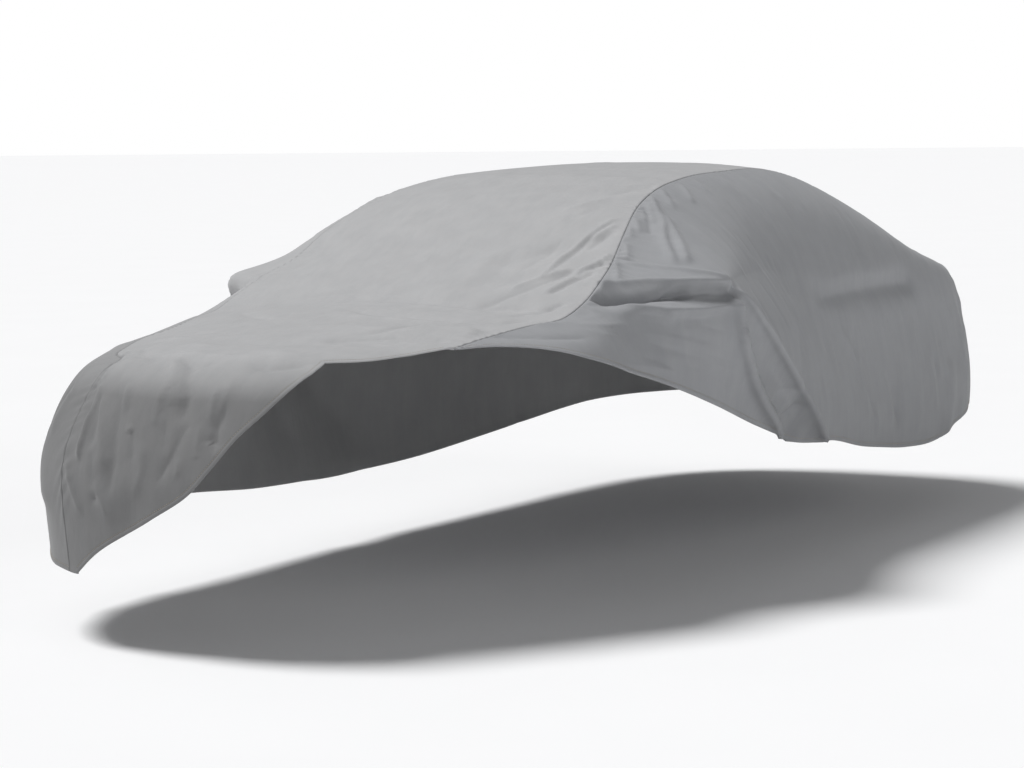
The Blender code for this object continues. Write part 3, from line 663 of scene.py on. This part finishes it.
def wrinkles(rows):
    """Short creases strewn over their places, ridges and troughs by turns, each a little unlike its row."""
    creases = []
    for row in rows:
        wrinkle = dict(zip(WRINKLE_COLUMNS, row))
        chance = np.random.default_rng(wrinkle["seed"])
        low = np.array(wrinkle["low"])
        high = np.array(wrinkle["high"])
        way = unit(np.array(wrinkle["way"]))
        for number in range(wrinkle["count"]):
            middle = low + (high - low) * chance.random(len(low))
            turned = way + WRINKLE_TURN * (chance.random(len(low)) - 0.5)
            half = turned * wrinkle["length"] * (0.5 + chance.random()) / 2
            bow = WRINKLE_BOW * wrinkle["length"] * (chance.random(len(low)) - 0.5)
            width = wrinkle["width"] * (0.7 + 0.6 * chance.random())
            peak = wrinkle["height"] * (0.4 + 0.9 * chance.random()) * (1 if number % 2 else -1)
            creases.append(((middle - half, middle + bow, middle + half), width, peak))
    return creases


def puckers(sheet, from_seam):
    """Small gathers beside the seams, a few millimetres deep. Slower sines vary their pitch and height."""
    place = sheet[..., 1] + 0.35 * sheet[..., 2]
    wave = np.sin(2 * math.pi * place / PUCKER_PITCH + 2.2 * np.sin(place * 17.0) + 1.6 * np.sin(place * 41.0))
    share = 0.55 + 0.45 * np.sin(place * 9.0 + 1.3 * np.sin(place * 23.0))
    reach = np.exp(-(((from_seam - PUCKER_CENTRE) / PUCKER_WIDTH) ** 2)) * soft_step(from_seam / PUCKER_START)
    more = 1.0 + PUCKER_MORE * np.exp(-(((sheet[..., 1] - PUCKER_PLACE[0]) / PUCKER_PLACE[1]) ** 2))
    return PUCKER_HEIGHT * wave * share * reach * more


def with_creases(heights, added, sheet, from_seam, from_hem):
    """Heights with those that the creases add, which calm down at seams and hems, and with the puckers."""
    added = added * soft_step(from_seam / CREASE_CALM)
    added *= HEM_SHARE + (1.0 - HEM_SHARE) * soft_step(from_hem / HEM_CALM)
    return heights + added + puckers(sheet, from_seam)


# ---- Sheets: grids of points on the near side or the strip, without thickness.

def normals(sheet):
    """Outward unit normals of a near side's sheet or of the strip."""
    along_rows = np.gradient(sheet, axis=0)
    along_columns = np.gradient(sheet, axis=1)
    cross = np.cross(along_columns, along_rows)
    return cross / np.maximum(np.linalg.norm(cross, axis=-1, keepdims=True), 1e-9)


def point_at(line, along, place):
    """The point at each place along a line of points."""
    return np.stack([np.interp(place, along, line[:, k]) for k in range(3)], -1)


def distance_to(lines, sheet):
    """Distance from each point of a sheet to the nearest of some lines."""
    points = []
    for line in lines:
        along = path_length(line)
        places = np.linspace(0.0, along[-1], max(2, int(along[-1] / LINE_PITCH)))
        points.append(point_at(line, along, places))
    tree = tree_of(np.vstack(points))
    return np.array([tree.find(point)[2] for point in sheet.reshape(-1, 3)]).reshape(sheet.shape[:-1])


def cell_runs(cell_table):
    """The runs of a panel's rows."""
    pieces = [np.linspace(start, end, cells + 1)[:-1] for start, end, cells in cell_table]
    return np.concatenate(pieces + [[cell_table[-1][1]]])


def edged(length, cells, spread=EVEN_SPREAD, at_start=True, at_end=True):
    """Shares of a length: spread cells, with closer ones next to the edges."""
    steps = np.array(EDGE_STEPS) * min(1.0, length / SHORT_LENGTH) / max(length, 1e-6)
    first = steps if at_start else np.array([0.0])
    last = 1.0 - steps[::-1] if at_end else np.array([1.0])
    middle = np.interp(np.linspace(0.0, 1.0, cells + 1)[1:-1], *np.transpose(spread))
    return np.concatenate([first, first[-1] + (last[0] - first[-1]) * middle, last])


def side_base(side):
    """A side panel's sheet without its folds, as if it were the near side's."""
    hem, cell_table, cells, spread = (
        (HEM_NEAR, CELLS_NEAR, DROP_CELLS_NEAR, NEAR_SPREAD) if side == 1
        else (HEM_FAR, CELLS_FAR, DROP_CELLS_FAR, EVEN_SPREAD)
    )
    runs = cell_runs(cell_table)
    # More rows next to the corner seams, and to the hem where the near panel starts.
    ends = np.array(EDGE_STEPS[1:])
    runs = np.unique(np.round(np.concatenate([runs, runs[0] + ends, runs[-1] - ends]), 5))
    leans = np.interp(runs, *np.transpose(LEAN_NEAR)) if side == 1 else np.zeros_like(runs)
    trial = np.linspace(0.0, 1.0, TRIAL_STEPS)
    rows = []
    for run, lean, hem_height in zip(runs, leans, read(hem, runs + leans)):
        hem_drop = drop_at(run + lean, hem_height)
        along = path_length(skirt(run + lean * trial**LEAN_POWER, hem_drop * trial))
        shares = np.interp(edged(along[-1], cells, spread) * along[-1], along, trial)
        rows.append(skirt(run + lean * shares**LEAN_POWER, hem_drop * shares))
    return np.array(rows)


def strip_rows():
    """The strip's rows, front to rear: a function of the share across, its place, and the near end's share."""
    first_run = CELLS_STRIP[0][0]
    last_run = CELLS_STRIP[-1][1]
    nose_drop = drop_at(first_run, HEM_FAR[0][1])
    tail_drop = drop_at(last_run, HEM_FAR[-1][1])
    rows = []
    for share in edged(END_DROP, NOSE_CELLS, at_end=False)[:-1]:
        drop = nose_drop * (1.0 - share)
        near = read(SWEEP_NOSE, drop) / skirt(first_run, drop)[0]
        rows.append((end_face, (NOSE, first_run, drop), near))
    for run in cell_runs(CELLS_STRIP):
        near = read(SWEEP_DECK, run) / station("seam_x", run)
        rows.append((top, (run,), near if run < SWEEP_START - 1e-6 else 1.0))
    for share in edged(END_DROP, TAIL_CELLS, at_start=False)[1:]:
        rows.append((end_face, (TAIL, last_run, tail_drop * share), 1.0))
    return rows


def strip_base():
    """The strip's sheet without its folds, and which of its rows end at the swept edge."""
    trial = np.linspace(0.0, 1.0, TRIAL_STEPS)
    sheet = []
    swept = []
    for form, place, near in strip_rows():
        along = path_length(form(*place, -1.0 + (near + 1.0) * trial))
        shares = np.interp(edged(along[-1], ACROSS_CELLS, ACROSS_SPREAD) * along[-1], along, trial)
        sheet.append(form(*place, -1.0 + (near + 1.0) * shares))
        swept.append(near < 1.0 - 1e-6)
    return np.array(sheet), np.array(swept)


def seam_inward(points, side):
    """Unit way in which the cloth turns in at a seam: down over the top, and to the middle at the corners."""
    rear = points[..., 1] > 0
    corner_z = np.where(rear, CORNER_REAR_Z, CORNER_FRONT_Z)
    corner = soft_step((corner_z - points[..., 2]) / CORNER_BLEND)[..., None]
    over = np.array([-side * 0.45, 0.0, -0.9])
    end = np.where(rear, -0.8, 0.8)[..., None] * (0.0, 1.0, 0.0) + np.array([-side * 0.6, 0.0, 0.0])
    way = (1.0 - corner) * over + corner * end
    return way / np.linalg.norm(way, axis=-1, keepdims=True)


def lowest_near(heights, cells=2):
    """The lowest of the heights within some cells of each place."""
    rows, columns = heights.shape
    around = np.pad(heights, cells, mode="edge")
    window = range(2 * cells + 1)
    return np.min([around[i:i + rows, k:k + columns] for i in window for k in window], axis=0)


def finished(sheet, heights, seams):
    """The outside and the inside of a sheet with its heights raised and its seam edges turned in.

    The inside is a little smoother, so that it stays under every crease. seams are pairs of the distance
    from a seam and the side that it is on.
    """
    outward = normals(sheet)
    turned = np.zeros_like(sheet)
    for from_seam, side in seams:
        turn = np.clip(1.0 - from_seam / SEAM_TURN_WIDTH, 0.0, 1.0) ** SEAM_TURN_POWER
        turned += seam_inward(sheet, side) * (SEAM_TURN * turn)[..., None]
    return [sheet + outward * level[..., None] + turned for level in (heights, lowest_near(heights))]


def side_panel(side):
    """A side panel's outside and inside in the frame, with the distance from its hem."""
    base = side_base(side)
    if side == 1:
        seams, hems = [base[:, 0], base[-1]], [base[:, -1], base[0]]
        folds, creases, strewn = FOLDS_NEAR, CREASES_NEAR, WRINKLES_NEAR
    else:
        seams, hems = [base[:, 0], base[0], base[-1]], [base[:, -1]]
        folds, creases, strewn = FOLDS_FAR, CREASES_FAR, WRINKLES_FAR
    from_seam = distance_to(seams, base)
    from_hem = distance_to(hems, base)
    sheet = base.copy()
    sheet[..., 0] += swell_reach(side, base)
    heights = fold_height(sheet[..., 1:], folds) * soft_step(from_seam / SEAM_CALM)
    laid = on_cloth(creases + tuple(wrinkles(strewn)), sheet)
    if side == 1:
        laid.extend(GATHERS_NEAR)
    added = crease_height(sheet, laid, normals(sheet))
    heights = with_creases(heights, added, base, from_seam, from_hem)
    return [to_frame(face * (side, 1, 1)) for face in finished(sheet, heights, [(from_seam, 1)])], from_hem


def strip_panel():
    """The strip's outside and inside in the frame, the distance from its hem, and which rows are swept."""
    base, swept = strip_base()
    from_far_seam = distance_to([base[:, 0]], base)
    from_near_seam = distance_to([base[~swept, -1]], base)
    from_hem = distance_to([base[swept, -1], base[0], base[-1]], base)
    from_seam = np.minimum(from_far_seam, from_near_seam)
    from_peak = (base[..., :2] - PEAK_PLACE) / PEAK_WIDTH
    heights = fold_height(base, FOLDS_STRIP) + PEAK_HEIGHT * np.exp(-np.sum(from_peak**2, axis=-1))
    heights *= soft_step(from_seam / SEAM_CALM)
    outward = normals(base)
    added = crease_height(base, CREASES_STRIP, outward) + crease_height(base, wrinkles(WRINKLES_STRIP), outward)
    heights = with_creases(heights, added, base, from_seam, from_hem)
    faces = [to_frame(face) for face in finished(base, heights, [(from_far_seam, -1), (from_near_seam, 1)])]
    return faces, from_hem, swept


# ---- Meshes.

def grid_faces(number):
    """The cells of a grid of vertex numbers."""
    return np.stack([number[:-1, :-1], number[:-1, 1:], number[1:, 1:], number[1:, :-1]], -1).reshape(-1, 4)


def rim_of(number):
    """The vertex numbers around the edge of a grid."""
    return np.concatenate([number[0, :-1], number[:-1, -1], number[-1, :0:-1], number[:0:-1, 0]])


def smooth_mesh(name, vertices, faces):
    """A smooth-shaded mesh."""
    mesh = bpy.data.meshes.new(name)
    mesh.from_pydata(vertices, [], faces)
    mesh.update()
    mesh.shade_smooth()
    return mesh


def linked(name, data):
    """An object in the scene."""
    item = bpy.data.objects.new(name, data)
    scene.collection.objects.link(item)
    return item


def placed(name, mesh, material):
    """A piece that rides on the cover's one body."""
    piece = linked(name, mesh)
    mesh.materials.append(material)
    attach(piece, "root")
    return piece


def cloth(name, faces_of_sheet, from_hem, material, mirrored=False):
    """A panel: a closed thin solid, with a fine outside, a coarser inside and a thicker roll along its hem."""
    outside, inside = faces_of_sheet
    turn = -1 if mirrored else 1
    outward = normals(outside) * turn
    in_roll = np.clip(1.0 - ((from_hem - HEM_ROLL / 2) / (HEM_ROLL / 2)) ** 2, 0.0, 1.0)
    half = (CLOTH + HEM_SWELL * np.sqrt(in_roll))[..., None] / 2
    outer = outside + outward * half
    inner = (inside - outward * half)[::2, ::2]
    outer_number = np.arange(outer[..., 0].size).reshape(outer.shape[:2])
    inner_number = np.arange(inner[..., 0].size).reshape(inner.shape[:2]) + outer_number.size
    outer_rim = rim_of(outer_number)
    inner_rim = rim_of(inner_number)
    walls = np.stack(
        [outer_rim[::2], inner_rim, np.roll(inner_rim, -1), np.roll(outer_rim, -2)[::2], outer_rim[1::2]], -1
    )
    faces = grid_faces(outer_number)[:, ::turn].tolist()
    faces += grid_faces(inner_number)[:, ::-turn].tolist()
    faces += walls[:, ::turn].tolist()
    vertices = np.vstack([outer.reshape(-1, 3), inner.reshape(-1, 3)]).tolist()
    return placed(name, smooth_mesh(name, vertices, faces), material)


def stitches(name, line, outward, material):
    """A row of stitches along a line on the cloth. Each is three rings of four corners, closed at its ends."""
    along = path_length(line)
    starts = np.arange(STITCH_PITCH, along[-1] - STITCH_PITCH, STITCH_PITCH)
    vertices = []
    faces = []
    for start, end in zip(starts, starts + STITCH_LENGTH):
        points = point_at(line, along, (start, end))
        up = unit(point_at(outward, along, start))
        side = np.cross(unit(points[1] - points[0]), up) * STITCH_WIDTH / 2
        rise = up * STITCH_WIDTH * STITCH_HALF_HEIGHT
        sink = up * STITCH_SINK
        middle = (points[0] + points[1]) / 2 + up * STITCH_WIDTH * STITCH_BULGE
        first = len(vertices)
        for point, wide in ((points[0] - sink, STITCH_TAPER), (middle, 1.0), (points[1] - sink, STITCH_TAPER)):
            vertices += [point - side * wide, point + rise, point + side * wide, point - rise]
        for ring in (first, first + 4):
            for k in range(4):
                after = (k + 1) % 4
                faces.append([ring + k, ring + after, ring + 4 + after, ring + 4 + k])
        faces.append([first + 3, first + 2, first + 1, first])
        faces.append([first + 8, first + 9, first + 10, first + 11])
    return placed(name, smooth_mesh(name, [tuple(vertex) for vertex in vertices], faces), material)


def stitch_line(sheet, from_hem, mirrored=False, at_end=False):
    """Points on the outside of a sheet at the stitches' distance from its hem, and the outward ways there.

    The hem is along the sheet's last column, or with at_end along its last row.
    """
    grids = [sheet, from_hem, normals(sheet) * (-1.0 if mirrored else 1.0)]
    if at_end:
        grids = [grid.swapaxes(0, 1) for grid in grids]
    points = []
    ways = []
    for line, distance, out in zip(*(grid[:, ::-1] for grid in grids)):
        # From the hem inward, the first place past the stitches' distance.
        place = int(np.argmax(distance >= STITCH_FROM_HEM))
        if place == 0:
            continue
        before = place - 1
        share = (STITCH_FROM_HEM - distance[before]) / max(distance[place] - distance[before], 1e-6)
        points.append(line[before] + share * (line[place] - line[before]))
        ways.append(out[place])
    ways = np.array(ways)
    return np.array(points) + ways * (CLOTH / 2 + STITCH_WIDTH * STITCH_HALF_HEIGHT), ways


# ---- Materials.

WHITE = (1.0, 1.0, 1.0, 1.0)
TOP_COLOUR = (0.445, 0.445, 0.450)
# The near side's colour is a darker copy of the top's: painted shade for the side that faces away from the
# overhead light.
SHADED_NEAR_SIDE_COLOUR = (0.332, 0.337, 0.350)
FAR_SIDE_COLOUR = (0.440, 0.440, 0.445)
THREAD_COLOUR = (0.42, 0.36, 0.27)
FLOOR_DARK = (0.955, 0.955, 0.960, 1.0)
FLOOR_LIGHT = (0.965, 0.965, 0.970, 1.0)
MOTTLING = 0.025  # how far the cloth's tone goes up and down
PAINTED_SHADE_FADE = (-1.9, -1.3)  # lengthwise, from where the painted shade on the nose is full to where it is least


def add_node(tree, kind, inputs=None, **settings):
    """A shader node with its settings and inputs. An input's value is a number, a colour or a socket."""
    node = tree.nodes.new(kind)
    for setting, value in settings.items():
        setattr(node, setting, value)
    for name, value in (inputs or {}).items():
        if isinstance(value, bpy.types.NodeSocket):
            tree.links.new(value, node.inputs[name])
        else:
            node.inputs[name].default_value = value
    return node


def noise(tree, place, scale, detail, roughness=0.5):
    """A noise texture's value."""
    inputs = {"Vector": place, "Scale": scale, "Detail": detail, "Roughness": roughness}
    return add_node(tree, "ShaderNodeTexNoise", inputs).outputs["Fac"]


def ramp(tree, factor, low, high, low_colour, high_colour):
    """A colour ramp from one colour to another."""
    node = add_node(tree, "ShaderNodeValToRGB", {"Fac": factor})
    for element, position, colour in zip(node.color_ramp.elements, (low, high), (low_colour, high_colour)):
        element.position = position
        element.color = colour
    return node.outputs["Color"]


def ranged(tree, value, low, high, most=1.0):
    """A value brought from the range between low and high to that between 0 and most."""
    inputs = {"Value": value, "From Min": low, "From Max": high, "To Max": most}
    return add_node(tree, "ShaderNodeMapRange", inputs).outputs["Result"]


def shaded(colour, share):
    """A colour made darker or lighter."""
    return [channel * share for channel in colour] + [1.0]


def new_material(name):
    """A material, its node tree, its shader, and the place on the piece."""
    material = bpy.data.materials.new(name)
    material.use_nodes = True
    tree = material.node_tree
    place = add_node(tree, "ShaderNodeTexCoord").outputs["Object"]
    return material, tree, tree.nodes["Principled BSDF"], place


def cloth_material(name, colour, streak_scale, shade_low, shade_high, shade_tone, shade_gone_behind):
    """Grey non-woven cloth: faint mottling, a fine bonded grain, and crinkles drawn out along the fall.

    Lower down, the colour is painted darker as painted shade: the given tone, fading between two heights above
    the ground. Further back than the lengthwise fade, the given share of that painted shade is gone.
    """
    material, tree, shader, place = new_material(name)
    streaks_at = add_node(tree, "ShaderNodeMapping", {"Vector": place, "Scale": streak_scale}).outputs["Vector"]
    mottling = noise(tree, place, 9.0, 6.0, 0.62)
    streaks = noise(tree, streaks_at, 26.0, 4.0, 0.55)
    crinkle = noise(tree, place, 55.0, 5.0, 0.6)
    grain = add_node(
        tree, "ShaderNodeTexVoronoi", {"Vector": place, "Scale": 520.0}, feature="SMOOTH_F1"
    ).outputs["Distance"]
    tone = ramp(tree, mottling, 0.36, 0.64, shaded(colour, 1 - MOTTLING), shaded(colour, 1 + MOTTLING))
    # Painted shade: the streak noise that raises the bump also darkens the colour a little where the bump is low,
    # in its troughs.
    streak_trough_shade = ramp(tree, streaks, 0.35, 0.68, (0.955, 0.96, 0.965, 1.0), WHITE)
    axes = add_node(tree, "ShaderNodeSeparateXYZ", {"Vector": place}).outputs
    # Painted shade: lower down, and towards the nose, the colour is made darker to stand in for the shade that
    # falls there.
    above = ranged(tree, axes["Z"], shade_low - REST_Z, shade_high - REST_Z)
    behind = ranged(tree, axes["Y"], PAINTED_SHADE_FADE[0] - REST_Y, PAINTED_SHADE_FADE[1] - REST_Y, shade_gone_behind)
    shade_at = add_node(tree, "ShaderNodeMath", {0: above, 1: behind}, operation="MAXIMUM").outputs["Value"]
    painted_shade = ramp(tree, shade_at, 0.0, 1.0, (shade_tone, shade_tone, shade_tone * 0.995, 1.0), WHITE)
    for layer in (streak_trough_shade, painted_shade):
        mixed = add_node(
            tree, "ShaderNodeMix", {"Factor": 1.0, 6: tone, 7: layer}, data_type="RGBA", blend_type="MULTIPLY"
        )
        tone = mixed.outputs[2]
    tree.links.new(tone, shader.inputs["Base Color"])
    bump = None
    for height, strength, distance in ((streaks, 0.55, 0.0045), (crinkle, 0.35, 0.0012), (grain, 0.25, 0.0004)):
        inputs = {"Height": height, "Strength": strength, "Distance": distance}
        if bump:
            inputs["Normal"] = bump
        bump = add_node(tree, "ShaderNodeBump", inputs).outputs["Normal"]
    tree.links.new(bump, shader.inputs["Normal"])
    shader.inputs["Roughness"].default_value = 0.72
    shader.inputs["Specular IOR Level"].default_value = 0.30
    shader.inputs["Sheen Weight"].default_value = 0.12
    shader.inputs["Sheen Roughness"].default_value = 0.50
    return material


def thread_material(name, colour):
    """Matt spun thread."""
    material, tree, shader, place = new_material(name)
    twisted = ramp(tree, noise(tree, place, 900.0, 2.0), 0.3, 0.7, shaded(colour, 0.8), shaded(colour, 1))
    tree.links.new(twisted, shader.inputs["Base Color"])
    shader.inputs["Roughness"].default_value = 0.6
    return material


def floor_material():
    """Pale plain floor, faintly uneven."""
    material, tree, shader, place = new_material("pale_floor")
    pale = ramp(tree, noise(tree, place, 1.5, 3.0), 0.3, 0.7, FLOOR_DARK, FLOOR_LIGHT)
    tree.links.new(pale, shader.inputs["Base Color"])
    shader.inputs["Roughness"].default_value = 0.85
    shader.inputs["Specular IOR Level"].default_value = 0.1
    return material


# Each cloth is painted darker lower down, as painted shade, between the two given heights and to the given tone.
top_cloth = cloth_material(
    "top_cloth", TOP_COLOUR, (1.0, 0.5, 0.3), shade_low=0.80, shade_high=0.93, shade_tone=0.46, shade_gone_behind=0.5
)
# The near side's cloth is the shaded copy: its darker colour is painted shade.
shaded_near_side_cloth = cloth_material(
    "shaded_near_side_cloth", SHADED_NEAR_SIDE_COLOUR, (0.15, 1.0, 0.16), shade_low=0.32, shade_high=0.85, shade_tone=0.80, shade_gone_behind=0.0
)
far_side_cloth = cloth_material(
    "far_side_cloth", FAR_SIDE_COLOUR, (0.15, 1.0, 0.16), shade_low=0.78, shade_high=1.02, shade_tone=0.46, shade_gone_behind=0.5
)
thread = thread_material("hem_thread", THREAD_COLOUR)

# ---- The pieces.

near_faces, near_hem = side_panel(1)
far_faces, far_hem = side_panel(-1)
strip_faces, strip_hem, swept_rows = strip_panel()

near_piece = cloth("near_cloth", near_faces, near_hem, shaded_near_side_cloth)
far_piece = cloth("far_cloth", far_faces, far_hem, far_side_cloth, mirrored=True)
strip_piece = cloth("strip_cloth", strip_faces, strip_hem, top_cloth)
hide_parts("side_panel_left")
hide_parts("side_panel_right")
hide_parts("top_panel")

strip_sheet = strip_faces[0]
near_line = stitch_line(near_faces[0], near_hem)
far_line = stitch_line(far_faces[0], far_hem, mirrored=True)
sweep_line = stitch_line(strip_sheet[swept_rows], strip_hem[swept_rows])
tail_line = stitch_line(strip_sheet[-TAIL_STITCH_ROWS:], strip_hem[-TAIL_STITCH_ROWS:], at_end=True)
near_thread = stitches("near_hem_stitches", *near_line, thread)
far_thread = stitches("far_hem_stitches", *far_line, thread)
sweep_thread = stitches("sweep_hem_stitches", *sweep_line, thread)
tail_thread = stitches("tail_hem_stitches", *tail_line, thread)

# ---- Floor, light and camera.

FLOOR_HALF = 120.0

floor_mesh = bpy.data.meshes.new("floor")
corners = [(x * FLOOR_HALF, y * FLOOR_HALF, -REST_Z) for x, y in ((-1, -1), (1, -1), (1, 1), (-1, 1))]
floor_mesh.from_pydata(corners, [], [(0, 1, 2, 3)])
floor_mesh.materials.append(floor_material())
floor = linked("floor", floor_mesh)

# The backdrop that the camera sees is white. It is brighter than the light that the studio gives.
world = bpy.data.worlds.new("studio")
world.use_nodes = True
sky = world.node_tree
studio = sky.nodes["Background"]
studio.inputs["Color"].default_value = (0.97, 0.98, 1.0, 1.0)
studio.inputs["Strength"].default_value = 0.18
backdrop = add_node(sky, "ShaderNodeBackground", {"Color": WHITE, "Strength": 1.0}).outputs["Background"]
seen = add_node(sky, "ShaderNodeLightPath").outputs["Is Camera Ray"]
shown = add_node(sky, "ShaderNodeMixShader", {"Fac": seen, 1: studio.outputs["Background"], 2: backdrop})
sky.links.new(shown.outputs["Shader"], sky.nodes["World Output"].inputs["Surface"])
scene.world = world
scene.view_settings.view_transform = "Standard"
scene.view_settings.look = "None"


def turned_to(back, roll=0.0):
    """Rotation of a camera or light that looks away from the way back, with its top side up."""
    back = unit(np.array(back, float))
    level = unit(np.cross((0.0, 0.0, 1.0), back))
    up = np.cross(back, level)
    right = math.cos(roll) * level + math.sin(roll) * up
    up = np.cross(back, right)
    return Matrix(np.stack([right, up, back], axis=1).tolist()).to_euler()


def soft_light(name, way, strength, spread):
    """Light from a broad part of the studio's ceiling, from the given way. Its spread is in degrees."""
    light = bpy.data.lights.new(name, "SUN")
    light.energy = strength
    light.angle = math.radians(spread)
    lamp = linked(name, light)
    lamp.location = way
    lamp.rotation_euler = turned_to(way)


soft_light("overhead", (-4.6, -1.4, 9.0), strength=2.80, spread=22.0)
soft_light("side_fill", (9.0, -1.0, 3.0), strength=0.52, spread=40.0)

# The camera's place is above the ground too, until REST_Y and REST_Z bring it to the frame.
CAMERA_X, CAMERA_Y, CAMERA_Z = 5.105, -9.159, 1.638
AZIMUTH = math.radians(29.99)
ELEVATION = math.radians(5.41)
ROLL = math.radians(-0.86)
view_back = (
    math.sin(AZIMUTH) * math.cos(ELEVATION), -math.cos(AZIMUTH) * math.cos(ELEVATION), math.sin(ELEVATION),
)
camera_data = bpy.data.cameras.new("camera")
camera_data.lens = 97.69
camera_data.sensor_width = 36.0
camera_data.clip_end = 400.0
camera = linked("camera", camera_data)
camera.location = (CAMERA_X, CAMERA_Y - REST_Y, CAMERA_Z - REST_Z)
camera.rotation_euler = turned_to(view_back, ROLL)
scene.camera = camera
